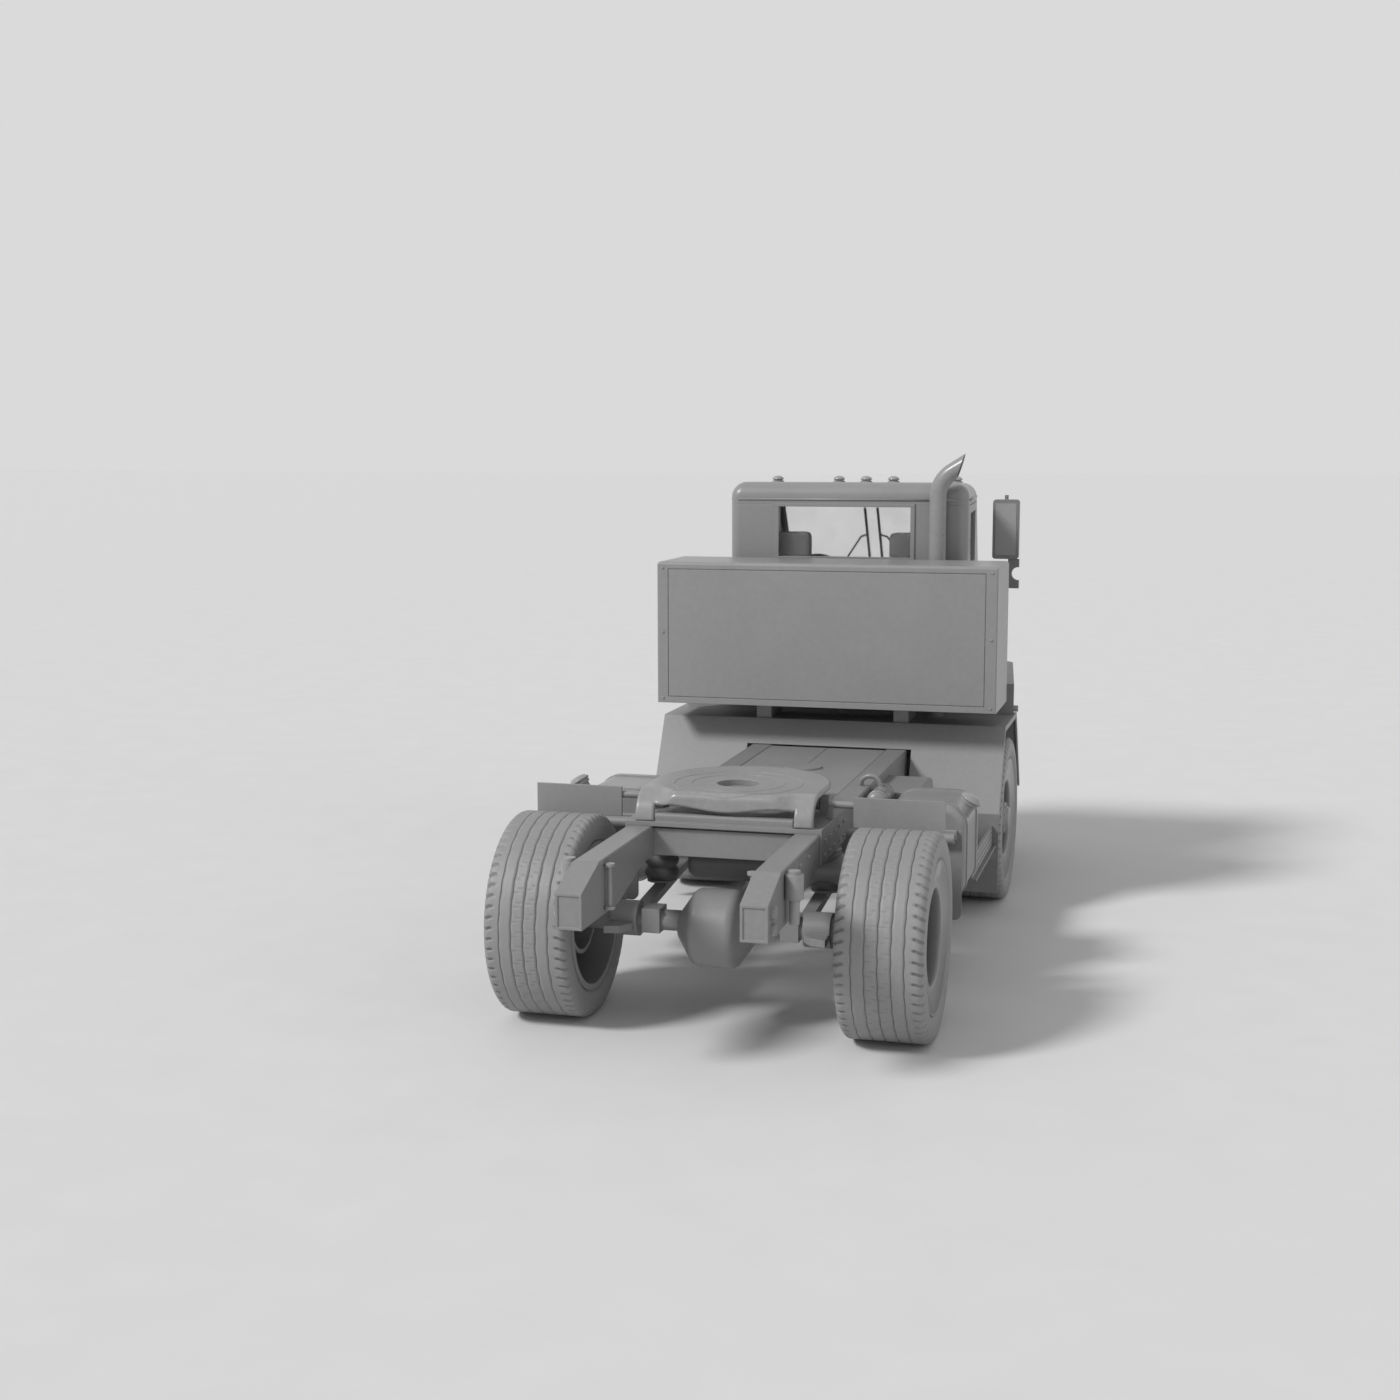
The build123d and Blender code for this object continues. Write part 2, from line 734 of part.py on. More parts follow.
def tie_rod():
    arm_y = front_axle - arm_length
    half = tie_eye_height / 2
    rod = bar((-kingpin_x, arm_y, tie_z), (kingpin_x, arm_y, tie_z), tie_radius)
    for x in (-kingpin_x, kingpin_x):
        rod += upright(x, arm_y, tie_z - half, tie_z + half, tie_eye_radius)
        rod -= upright(x, arm_y, tie_z - 30, tie_z + 30, tie_pin_radius + running_gap)
    return rod


# Wheels are drawn with the outer face towards +X
def tyre():
    half = tyre_half_width
    seat = rim_half_width - rim_wall - 1
    right = [(tread_half_width, tyre_radius), (half - 6, tyre_radius - 30), (half, tyre_radius - 80),
             (rim_half_width - 2, rim_radius + 10), (seat, rim_radius + 1), (seat, barrel_radius + bead_gap)]
    left = [(-x, r) for x, r in reversed(right)]
    return turned(left + right)


# Flanged barrel shared by both kinds of wheel, from the inner flange to the outer one
def rim_outside():
    seat = rim_half_width - rim_wall - bead_gap
    edge = rim_half_width
    return [(-edge, rim_radius), (-seat, rim_radius), (-seat, barrel_radius), (seat, barrel_radius),
            (seat, rim_radius), (edge, rim_radius), (edge, rim_radius - 12)]


def rim_inside():
    wall = barrel_radius - rim_wall
    return [(rim_half_width - 26, wall), (-rim_half_width, wall)]


# Hub cap, then the bore that runs on the spindle
def hub_outline(face, bore_start, bore_end):
    tip = face + hub_reach
    bore = spindle_radius + running_gap
    return [(face, hub_radius), (tip - 15, hub_radius - 5), (tip, hub_radius - 45), (tip, 0),
            (bore_end, 0), (bore_end, bore), (bore_start, bore), (bore_start, hub_radius + 10)]


def drum_outline(face, depth, radius):
    return [(face, hub_radius + 10), (face, radius), (face - depth, radius),
            (face - depth, radius + drum_wall), (face, radius + drum_wall)]


def rear_wheel():
    dish = rim_radius * dish_share
    face = rear_disc_x
    inner = face - disc_sheet
    mouth = [(face + 100, dish + 6), (face, dish)]
    back = [(inner, dish + 12), (face + 86, dish + 18)]
    return turned(rim_outside() + mouth + hub_outline(face, -75, face + 40)
                  + drum_outline(inner, 150, dish - drum_gap) + back + rim_inside())


def front_wheel():
    dish = rim_radius * front_dish_share
    face = front_disc_x
    inner = face - disc_sheet
    mouth = [(face + 30, dish + 4), (face, dish)]
    drum = dish + 22
    return turned(rim_outside() + mouth + hub_outline(face, 58, face + 40)
                  + drum_outline(inner, 70, drum) + [(inner + 36, drum)] + rim_inside())


def locker():
    half = locker_half_width
    body = block(-half, half, locker_back, locker_front, locker_floor, locker_top)
    body = fillet(body.edges().group_by(Axis.Z)[-1], locker_round)
    body = fillet(body.edges().filter_by(Axis.Z), 10)
    x, low, high = half - panel_rim, locker_floor + 40, locker_top - 45
    line = panel_groove
    groove = block(-x, x, locker_back - 1, locker_back + 4, low, high)
    groove -= block(line - x, x - line, locker_back - 2, locker_back + 6, low + line, high - line)
    bearer_start = front_axle - guard_flat + 20
    bearer = block(rail_outer - bearer_width - 6, rail_outer - 6, bearer_start, locker_front,
                   guard_top, locker_floor)
    return body - groove + pair(bearer)


# Upright stack with an outward bend and a slanted mouth
def exhaust_stack():
    def on_bend(angle):
        swing = math.radians(angle)
        x = stack_x + stack_bend_radius * (1 - math.cos(swing))
        return Vector(x, stack_y, stack_bend_z + stack_bend_radius * math.sin(swing))
    turn = math.radians(stack_turn)
    lead = Vector(math.sin(turn), 0, math.cos(turn))
    low_side = Vector(math.cos(turn), 0, -math.sin(turn))
    end = on_bend(stack_turn)
    foot = (stack_x, stack_y, guard_top)
    bend = (stack_x, stack_y, stack_bend_z)
    path = Wire([Edge.make_line(foot, bend),
                 Edge.make_three_point_arc(bend, on_bend(stack_turn / 2), end),
                 Edge.make_line(end, end + lead * stack_tip)])
    pipe = sweep(Plane(origin=foot, z_dir=(0, 0, 1)) * Circle(stack_radius), path=path)
    slant = math.radians(stack_cut)
    cut_plane = Plane(origin=end + low_side * stack_radius, x_dir=(0, 1, 0),
                      z_dir=(math.cos(slant), 0, -math.sin(slant)))
    waste = extrude(cut_plane * Pos(0, stack_tip) * Rectangle(2 * stack_tip, 2 * stack_tip), amount=stack_tip)
    bore = bar(tuple(end), tuple(end + lead * 2 * stack_tip), stack_radius - stack_wall)
    return pipe - waste - bore


# Half width of the cab's outer side at y
def side_x(y):
    share = (y - cab_back) / (cab_nose - cab_back)
    return cab_back_half_width - (cab_back_half_width - cab_front_half_width) * share


# Cab's outer form, shrunk by inset on every side
def cab_outline(inset):
    back, front = cab_back + inset, cab_nose - inset
    floor, roof = cab_floor_z + inset, cab_roof_z - inset
    half_back, half_front = side_x(back) - inset, side_x(front) - inset
    plan = along_z([(-half_back, back), (half_back, back), (half_front, front), (-half_front, front)],
                   floor, roof)
    lean = inset * math.sqrt(1 + screen_slope ** 2)
    brow_y = screen_top_y - lean + screen_slope * inset
    side = along_x([(back - 1, floor), (back - 1, roof), (brow_y, roof - roof_fall),
                    (screen_foot_y - lean, screen_foot_z), (front, screen_foot_z - nose_fold),
                    (front, floor)], -2 * cab_back_half_width, 2 * cab_back_half_width)
    body = plan & side
    body = fillet(body.edges().filter_by(Axis.Z).group_by(Axis.Y)[0], max(back_round - inset, 15))
    return fillet(body.faces().sort_by(Axis.Z)[-1].edges(), max(roof_round - inset, 20))


def screen_cut():
    half = screen_half_width
    return block(-half, half, screen_top_y - 70, nose, window_sill + 10, door_head - 30)


def back_window_cut():
    left, right = back_window_shift - back_window_half, back_window_shift + back_window_half
    return block(left, right, cab_back - 10, cab_back + 2 * cab_wall, back_window_low, back_window_high)


def door_window_cut():
    return block(cab_front_half_width / 2, cab_back_half_width + cab_wall, window_back, window_front,
                 window_sill, window_head)


# Shell split where the real panels meet: roof, floor, back wall and front
def cab_panels(shell):
    half = 2 * cab_back_half_width
    start, end, top = cab_back - 1, cab_nose + 1, cab_roof_z + 1
    trimmed = shell - screen_cut() - back_window_cut()
    roof = trimmed & block(-half, half, start, end, door_head, top)
    floor = trimmed & block(-half, half, start, end, 0, door_sill)
    back = trimmed & block(-half, half, start, door_back, door_sill, door_head)
    front = trimmed & block(-half, half, door_front, end, door_sill, door_head)
    return {"cab_roof": roof, "cab_floor": floor, "cab_back_wall": back, "cab_front": front + hinge_posts()}


def hinge_heights():
    return [door_sill + share * (window_sill - door_sill) for share in hinge_shares]


# Right-hand door panel
def door(shell):
    body = shell & block(0, 2 * cab_back_half_width, door_back + door_gap, door_front - door_gap,
                         door_sill + door_gap, door_head - door_gap)
    body -= door_window_cut()
    x, y = side_x(door_front) + hinge_offset, door_front
    for z in hinge_heights():
        body += upright(x, y, z - hinge_half, z + hinge_half, hinge_radius)
        body += block(x - hinge_offset - 6, x, y - 40, y - door_gap, z - hinge_half, z + hinge_half)
    start = door_back + 120
    face = side_x(start)
    top = window_sill - 85
    body += block(face - 16, face + 32, start, start + handle_length, top - handle_height, top)
    return body


def hinge_posts():
    x, y = side_x(door_front) + hinge_offset, door_front
    half = hinge_post / 2
    posts = []
    for middle in hinge_heights():
        for side in (-1, 1):
            z = middle + side * (hinge_half + half + seat_gap)
            posts.append(upright(x, y, z - half, z + half, hinge_radius))
            posts.append(block(x - hinge_offset - 8, x + 4, y + 3, y + 40, z - half, z + half))
    return pair(joined(posts))


# Half width of the broad base at y
def base_x(y):
    share = (y - cab_base_back) / (base_front - cab_base_back)
    return base_half_width - (base_half_width - base_front_half_width) * share


# Outer form of the broad base, shrunk by inset and opened downward by drop
def base_form(inset, drop):
    crease = front_axle + guard_flat
    foot_y = crease + guard_slope_length
    start, end, top = cab_base_back + inset, base_front - inset, cab_floor_z - inset
    back_half, front_half = base_x(start) - inset, base_x(end) - inset
    plan = along_z([(-back_half, start), (back_half, start), (front_half, end), (-front_half, end)], 0, top)
    side = along_x([(start, guard_top - drop), (crease, guard_top - drop), (foot_y, guard_low - drop),
                    (foot_y, cab_base_foot - drop), (end, cab_base_foot - drop), (end, top), (start, top)],
                   -base_half_width, base_half_width)
    body = plan & side
    return fillet(body.edges().filter_by(Axis.Z).group_by(Axis.Y)[-1], base_corner - inset)


# Base with boarding steps let into both sides and holes for grille and lamps
def cab_base():
    outside = base_form(0, 0)
    body = outside - base_form(base_sheet, 60)
    start = front_axle + guard_flat + guard_slope_length + 45
    end = start + pocket_length
    inner = base_x(end) - pocket_depth
    wall = pocket_sheet
    for row in range(2):
        low = cab_base_foot + 80 + row * pocket_pitch
        high = low + pocket_height
        lining = block(inner - wall, base_half_width, start - wall, end + wall, low - wall, high + wall)
        space = block(inner, base_half_width + 1, start, end, low, high)
        body = body + pair(lining & outside) - pair(space)
    body -= block(-grille_half, grille_half, base_front - 100, base_front + 10, grille_low, grille_high)
    lamp_hole = bar((headlamp_x, base_front - 100, headlamp_z), (headlamp_x, base_front + 10, headlamp_z),
                    headlamp_radius)
    return body - pair(lamp_hole)


def grille():
    back = base_front - base_sheet
    pitch = (grille_high - grille_low) / grille_slats
    bars = []
    for n in range(grille_slats):
        z = grille_low + (n + 0.5) * pitch
        bars.append(block(-grille_half, grille_half, back, base_front - 6, z - 10, z + 10))
    for x in (8 - grille_half, 0, grille_half - 8):
        bars.append(block(x - 8, x + 8, back, base_front - 10, grille_low, grille_high))
    return joined(bars)


def bumper():
    foot = cab_base_foot - 80
    half = base_front_half_width
    body = block(-half, half, base_front, nose, foot, foot + bumper_height)
    return fillet(body.edges().filter_by(Axis.Z).group_by(Axis.Y)[-1], bumper_round)


# Headlamps, domed roof markers and side markers
def lamps(base):
    head = bar((headlamp_x, base_front - 40, headlamp_z), (headlamp_x, base_front + 8, headlamp_z),
               headlamp_radius)
    markers = []
    roof = cab_roof_z - roof_fall * (roof_lamp_y - cab_back) / (screen_top_y - cab_back)
    brim = roof + 10
    for x in roof_lamp_x:
        dome = upright(x, roof_lamp_y, brim, roof + roof_lamp_height, roof_lamp_radius)
        dome = fillet(dome.edges().group_by(Axis.Z)[-1], roof_lamp_height * 0.4)
        markers.append(dome + upright(x, roof_lamp_y, roof - 2, brim, roof_lamp_brim))
    y, z = cab_base_back + 90, guard_top + 30
    side = bar((base_half_width - 10, y, z), (base_half_width + 22, y, z), side_lamp_radius)
    return pair(head) + (joined(markers) - cab_outline(0)) + pair(side - base)


def mirrors():
    x, y = mirror_x, mirror_y
    top = mirror_low + mirror_height
    middle = y + mirror_depth / 2
    head = block(x - mirror_half, x + mirror_half, y, y + mirror_depth, mirror_low, top)
    body = fillet(head.edges().filter_by(Axis.Y), 22)
    body += block(x + 20, x + 100, middle - 15, middle + 15, mirror_arm_z, mirror_low)
    hollow_z = (mirror_arm_z + mirror_low) / 2
    body -= bar((x + mirror_half, y, hollow_z), (x + mirror_half, y + mirror_depth, hollow_z), 48)
    body += upright(x, middle, top - 8, top + 32, 14)
    body += block(side_x(middle) - 2, x + 30, middle - 15, middle + 15, mirror_arm_z, mirror_arm_z + 50)
    return pair(body - cab_outline(0))


# Two upright blades, each with an arm to its pivot below the windscreen
def wipers():
    lean = math.sqrt(1 + screen_slope ** 2)

    def at(x, z, height):
        y = screen_top_y + (cab_roof_z - z) * screen_slope
        return (x, y + height / lean, z + height * screen_slope / lean)
    sill, top = window_sill, door_head
    arms = []
    for x, swing in ((-75, -256), (20, 256)):  # blade x, pivot beside it
        pivot = x + swing
        elbow = at(x + swing / 5, sill + 240, wiper_out + 5)
        arms.append(bar(at(x, sill + 60, wiper_out), at(x, top - 68, wiper_out), 10))
        arms.append(bar(at(pivot, sill - 35, wiper_out + 5), elbow, 7))
        arms.append(bar(elbow, at(x, sill + 256, wiper_out + 5), 7) + Pos(*elbow) * Sphere(7))
        arms.append(bar(at(pivot, sill - 30, 0), at(pivot, sill - 30, wiper_out + 16), 18))
    return joined(arms)


def seat_pads():
    x, y, half = seat_x, seat_back_y, seat_half
    low = cushion_top - seat_pad
    cushion = block(x - half, x + half, y + seat_pad - 10, y + seat_depth, low, cushion_top)
    back = block(x - half, x + half, y, y + seat_pad, low, seat_top)
    rest = block(x - rest_half, x + rest_half, y, y + seat_pad - 10, seat_top, seat_top + rest_height)
    pads = joined([fillet(pad.edges(), pad_round) for pad in (cushion, back, rest)])
    pads += block(x - 90, x + 90, y + 30, y + 80, seat_top - 70, seat_top + 30)
    return pair(pads)


def seat_frames():
    return pair(block(seat_x - 190, seat_x + 190, seat_back_y + 120, seat_back_y + seat_depth - 40,
                      door_sill, cushion_top - seat_pad))


def dashboard():
    y, z = cab_nose, screen_foot_z
    form = along_x([(y - 380, z - 220), (y - 360, z - 50), (y - 300, z - 10), (y, z + 10), (y, z - 270),
                    (y - 300, z - 270)], -cab_back_half_width, cab_back_half_width)
    return form & cab_outline(cab_wall)


def steering_wheel(dash):
    hub = Vector(-seat_x, cab_nose - 590, screen_foot_z + 20)
    foot = Vector(-seat_x, cab_nose - 360, screen_foot_z - 115)
    plane = Plane(origin=hub, z_dir=hub - foot)
    body = plane.location * Torus(wheel_ring, wheel_grip)
    body += bar(tuple(foot), tuple(hub), 24)
    body += plane.location * Cylinder(45, 40)
    for angle in (90, 210, 330):
        swing = math.radians(angle)
        tip = plane.from_local_coords((wheel_ring * math.cos(swing), wheel_ring * math.sin(swing), 0))
        body += bar(tuple(hub), tuple(tip), 11)
    return body - dash


shell = cab_outline(0) - cab_outline(cab_wall)
pane = cab_outline(glass_inset) - cab_outline(glass_inset + glass_thickness)
dash = dashboard()
base = cab_base()
nodes = {
    "frame_rails": frame_rails(), "cross_members": cross_members(), "deck_plates": deck_plates(),
    "fifth_wheel_base": fifth_wheel_base(), "fifth_wheel_plate": fifth_wheel_plate(),
    "rear_axle": rear_axle(), "rear_springs": rear_springs(), "rail_buffers": rail_buffers(),
    "air_tank": air_tank(), "propeller_shaft": propeller_shaft(), "engine": engine(),
    "fuel_tanks": fuel_tanks(), "battery_box": battery_box(), "air_bottle": air_bottle(),
    "side_steps": side_steps(), "rear_mudguards": rear_mudguards(), "mudflaps": mudflaps(),
    "front_mudguard": front_mudguard(), "front_beam": front_beam(), "front_springs": front_springs(),
    "tie_rod": tie_rod(), "locker": locker(), "exhaust_stack": exhaust_stack(),
    "windscreen": pane & screen_cut(), "back_window": pane & back_window_cut(),
    "cab_base": base, "grille": grille(), "bumper": bumper(), "lamps": lamps(base), "mirrors": mirrors(),
    "wipers": wipers(), "seat_pads": seat_pads(), "seat_frames": seat_frames(), "dashboard": dash,
    "steering_wheel": steering_wheel(dash),
}
nodes.update(cab_panels(shell))
for name, shape in (("knuckle", knuckle()), ("door", door(shell)), ("door_glass", pane & door_window_cut())):
    nodes[name + "_right"] = shape
    nodes[name + "_left"] = mirrored(shape)
for side, sign, turn in (("left", -1, Rot(0, 0, 180)), ("right", 1, Rot(0, 0, 0))):
    rear = Pos(sign * rear_half_track, 0, axle_z) * turn
    front = Pos(sign * front_half_track, front_axle, axle_z) * turn
    nodes["tyre_rear_" + side] = rear * tyre()
    nodes["wheel_rear_" + side] = rear * rear_wheel()
    nodes["tyre_front_" + side] = front * tyre()
    nodes["wheel_front_" + side] = front * front_wheel()

os.makedirs("parts", exist_ok=True)
for name, shape in nodes.items():
    export_step(Pos(0, centre_shift, 0) * shape, "parts/" + name + ".step")
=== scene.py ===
import bpy
import bmesh
import json
import math
from mathutils import Matrix, Vector


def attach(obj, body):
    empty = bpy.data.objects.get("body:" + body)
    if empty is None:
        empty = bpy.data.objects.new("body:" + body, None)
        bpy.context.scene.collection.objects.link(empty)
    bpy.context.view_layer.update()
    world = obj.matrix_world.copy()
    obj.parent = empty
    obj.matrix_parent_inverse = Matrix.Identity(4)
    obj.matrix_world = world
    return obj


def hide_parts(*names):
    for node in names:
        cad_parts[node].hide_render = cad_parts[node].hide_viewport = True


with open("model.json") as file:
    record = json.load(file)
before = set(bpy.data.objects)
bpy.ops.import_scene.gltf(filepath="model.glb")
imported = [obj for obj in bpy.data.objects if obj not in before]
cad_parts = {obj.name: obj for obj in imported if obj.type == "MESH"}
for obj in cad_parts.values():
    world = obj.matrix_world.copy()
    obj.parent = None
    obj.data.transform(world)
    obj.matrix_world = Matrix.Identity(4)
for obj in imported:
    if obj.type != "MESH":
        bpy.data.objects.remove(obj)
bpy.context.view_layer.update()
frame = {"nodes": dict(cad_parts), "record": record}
nodes = frame["nodes"]
jointPlaces = {joint["name"]: joint["pos_m"] for joint in frame["record"]["behaviour"]["joints"]}
wheelSides = ("rear_left", "rear_right", "front_left", "front_right")
wheelPlaces = {side: jointPlaces["spin_" + side] for side in wheelSides}
rearY = wheelPlaces["rear_right"][1]   # the rear axle, most places are measured from it


def fromAxle(x, y, z):
    return (x, rearY + y, z)


def circleAngles(count, shift=0.0):
    return [2 * math.pi * (k + shift) / count for k in range(count)]


# What all the surfaces share: mottling, change of roughness, and edges painted paler, partly as rubbed wear
# and partly as a painted highlight
surfaceLook = {"grainDetail": 6.0, "cloudScale": 2.2, "cloudDetail": 3.0, "share": 0.5,
               "darkFrom": 0.3, "paleFrom": 0.7, "roughSwing": 0.08, "bumpDepth": 0.01,
               "edgeSamples": 6, "flatTurn": 0.99, "edgeTurn": 0.72, "edgeGain": 1.45}


def addNode(tree, kind, values=None, operation=None):
    node = tree.nodes.new("ShaderNode" + kind)
    if operation:
        node.operation = operation
    for key, value in (values or {}).items():
        node.inputs[key].default_value = value
    return node


# Rounds the edges in the shading and paints them paler in patches, partly as rubbed wear and partly as a
# painted edge highlight
def wearAndHighlightEdges(tree, worn, tone, noise, ramp, bumpNode):
    link = tree.links.new
    softEdge = addNode(tree, "Bevel", {"Radius": worn})
    softEdge.samples = surfaceLook["edgeSamples"]
    link(softEdge.outputs["Normal"], bumpNode.inputs["Normal"])
    facing = addNode(tree, "NewGeometry")
    turn = addNode(tree, "VectorMath", operation="DOT_PRODUCT")
    link(softEdge.outputs["Normal"], turn.inputs[0])
    link(facing.outputs["Normal"], turn.inputs[1])
    turnRange = {"From Min": surfaceLook["flatTurn"], "From Max": surfaceLook["edgeTurn"]}
    # Mask of the paler edges, where rubbed wear and a painted highlight go
    wearAndLitEdge = addNode(tree, "MapRange", turnRange)
    link(turn.outputs["Value"], wearAndLitEdge.inputs["Value"])   # 0 on the flat, 1 on the very edge
    patchy = addNode(tree, "Math", operation="MULTIPLY")
    link(wearAndLitEdge.outputs["Result"], patchy.inputs[0])
    link(noise.outputs["Fac"], patchy.inputs[1])
    edgeMix = addNode(tree, "Mix")
    edgeMix.data_type = "RGBA"
    # Paler edge tone, for rubbed wear and for a painted highlight on the edges
    plain, wearAndLitTone = [s for s in edgeMix.inputs if s.type == "RGBA"]
    wearAndLitTone.default_value = [min(tone * surfaceLook["edgeGain"], 1.0)] * 3 + [1]
    link(patchy.outputs[0], edgeMix.inputs["Factor"])
    link(ramp.outputs["Color"], plain)
    mixed = [s for s in edgeMix.outputs if s.type == "RGBA"][0]
    link(mixed, tree.nodes["Principled BSDF"].inputs["Base Color"])


# tone: grey level, rough: middle roughness, grain: fineness of the mottling, worn: radius of the soft edges,
# which are also painted paler as wear and as a painted highlight
def surface(name, tone, rough, grain=30.0, spread=0.05, bump=0.02, worn=0.0):
    mat = bpy.data.materials.new(name)
    mat.use_nodes = True
    tree = mat.node_tree
    link = tree.links.new
    shader = tree.nodes["Principled BSDF"]
    coord = addNode(tree, "TexCoord")
    noise = addNode(tree, "TexNoise", {"Scale": grain, "Detail": surfaceLook["grainDetail"]})
    cloudValues = {"Scale": surfaceLook["cloudScale"], "Detail": surfaceLook["cloudDetail"]}
    cloud = addNode(tree, "TexNoise", cloudValues)
    for texture in (noise, cloud):
        link(coord.outputs["Object"], texture.inputs["Vector"])
    cloudShare = addNode(tree, "Math", {1: surfaceLook["share"]}, "MULTIPLY")
    link(cloud.outputs["Fac"], cloudShare.inputs[0])
    mottle = addNode(tree, "Math", {1: surfaceLook["share"]}, "MULTIPLY_ADD")
    link(noise.outputs["Fac"], mottle.inputs[0])
    link(cloudShare.outputs[0], mottle.inputs[2])
    ramp = addNode(tree, "ValToRGB")
    dark, pale = ramp.color_ramp.elements
    dark.position, pale.position = surfaceLook["darkFrom"], surfaceLook["paleFrom"]
    dark.color = [tone * (1 - spread)] * 3 + [1]
    pale.color = [tone * (1 + spread)] * 3 + [1]
    link(mottle.outputs[0], ramp.inputs["Fac"])
    link(ramp.outputs["Color"], shader.inputs["Base Color"])
    swing = surfaceLook["roughSwing"]
    roughEnds = {"To Min": max(rough - swing, 0.02), "To Max": min(rough + swing, 1.0)}
    roughRange = addNode(tree, "MapRange", roughEnds)
    link(cloud.outputs["Fac"], roughRange.inputs["Value"])
    link(roughRange.outputs["Result"], shader.inputs["Roughness"])
    if bump:
        bumpNode = addNode(tree, "Bump", {"Strength": bump, "Distance": surfaceLook["bumpDepth"]})
        link(noise.outputs["Fac"], bumpNode.inputs["Height"])
        link(bumpNode.outputs["Normal"], shader.inputs["Normal"])
        # Soft edges, painted paler as rubbed wear and as a painted highlight
        if worn:
            wearAndHighlightEdges(tree, worn, tone, noise, ramp, bumpNode)
    return mat


glassLook = {"tone": 0.9, "rough": 0.1, "grain": 8.0, "clear": 1.0, "bending": 1.1}


def glassSurface(name):
    mat = surface(name, glassLook["tone"], glassLook["rough"], grain=glassLook["grain"], bump=0.0)
    shader = mat.node_tree.nodes["Principled BSDF"]
    shader.inputs["Transmission Weight"].default_value = glassLook["clear"]
    shader.inputs["IOR"].default_value = glassLook["bending"]
    return mat


looks = {
    "chassis_paint": surface("chassisPaint", 0.24, 0.38, spread=0.08, worn=0.006),
    "deck_plate": surface("deckPlate", 0.26, 0.42, spread=0.10, worn=0.004),
    "plate_steel": surface("plateSteel", 0.29, 0.30, spread=0.12),
    "axle_cast": surface("axleCast", 0.23, 0.42, grain=80, bump=0.06, worn=0.005),
    "spring_rubber": surface("springRubber", 0.15, 0.6),
    "fitting_steel": surface("fittingSteel", 0.30, 0.3, spread=0.08, worn=0.003),
    "engine_cast": surface("engineCast", 0.18, 0.55, grain=80, bump=0.06),
    "tank_metal": surface("tankMetal", 0.26, 0.32, spread=0.06, worn=0.005),
    "step_metal": surface("stepMetal", 0.19, 0.4, spread=0.08, worn=0.003),
    "guard_paint": surface("guardPaint", 0.26, 0.46, spread=0.06, worn=0.006),
    "flap_rubber": surface("flapRubber", 0.21, 0.6, bump=0.05, worn=0.004),
    "locker_paint": surface("lockerPaint", 0.27, 0.36, spread=0.06, worn=0.006),
    "stack_metal": surface("stackMetal", 0.27, 0.28, spread=0.10),
    "clear_glass": glassSurface("clearGlass"),
    "cab_paint": surface("cabPaint", 0.26, 0.33, spread=0.05, worn=0.006),
    "trim_plastic": surface("trimPlastic", 0.21, 0.5, grain=120, bump=0.05, worn=0.004),
    "lamp_lens": surface("lampLens", 0.33, 0.2),
    "seat_fabric": surface("seatFabric", 0.24, 0.85, grain=200, bump=0.15),
    "tyre_rubber": surface("tyreRubber", 0.26, 0.5, grain=60, spread=0.09, bump=0.06),
    "wheel_paint": surface("wheelPaint", 0.26, 0.32, spread=0.06, worn=0.005),
}
for entry in frame["record"]["subparts"]:
    piece = nodes[entry["node"]]
    piece.data.materials.clear()
    piece.data.materials.append(looks[entry["material_slot"]])
print("materials set")


def addPiece(name, verts, faces, slotName, body, smooth=True):
    mesh = bpy.data.meshes.new(name)
    mesh.from_pydata([tuple(v) for v in verts], [], [tuple(f) for f in faces])
    mesh.validate()
    shell = bmesh.new()
    shell.from_mesh(mesh)
    bmesh.ops.recalc_face_normals(shell, faces=shell.faces)   # all faces look outward
    shell.to_mesh(mesh)
    shell.free()
    mesh.materials.append(looks[slotName])
    for polygon in mesh.polygons:
        polygon.use_smooth = smooth
    piece = bpy.data.objects.new(name, mesh)
    bpy.context.scene.collection.objects.link(piece)
    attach(piece, body)
    return piece


# Several shapes as one
def gather(shapes):
    verts, faces = [], []
    for shapeVerts, shapeFaces in shapes:
        start = len(verts)
        verts.extend(shapeVerts)
        faces.extend([[i + start for i in f] for f in shapeFaces])
    return verts, faces


# Turned shape: profile holds places along the axis with their radius, a ring closes on itself
def latheShape(profile, centre, axis, sides=40, ring=False):
    axis = Vector(axis).normalized()
    across = axis.orthogonal().normalized()
    other = axis.cross(across)
    verts, faces = [], []
    for lift, radius in profile:
        for angle in circleAngles(sides):
            spoke = across * math.cos(angle) + other * math.sin(angle)
            verts.append(Vector(centre) + axis * lift + spoke * radius)
    for row in range(len(profile) if ring else len(profile) - 1):
        low, high = row * sides, (row + 1) % len(profile) * sides
        for k in range(sides):
            n = (k + 1) % sides
            faces.append([low + k, low + n, high + n, high + k])
    if not ring:
        faces.append(list(range(len(verts) - sides, len(verts))))
        faces.append(list(reversed(range(sides))))
    return verts, faces


# Bolt head or knob, narrower above its shoulder
def prism(centre, axis, radius, height, sides=6, cap=0.8, shoulder=0.75):
    return latheShape([(0, radius), (height * shoulder, radius), (height, radius * cap)], centre, axis, sides)


def boxShape(low, high):
    verts = [(x, y, z) for x in (low[0], high[0]) for y in (low[1], high[1]) for z in (low[2], high[2])]
    faces = [(0, 1, 3, 2), (4, 6, 7, 5), (0, 4, 5, 1), (2, 3, 7, 6), (0, 2, 6, 4), (1, 5, 7, 3)]
    return verts, faces


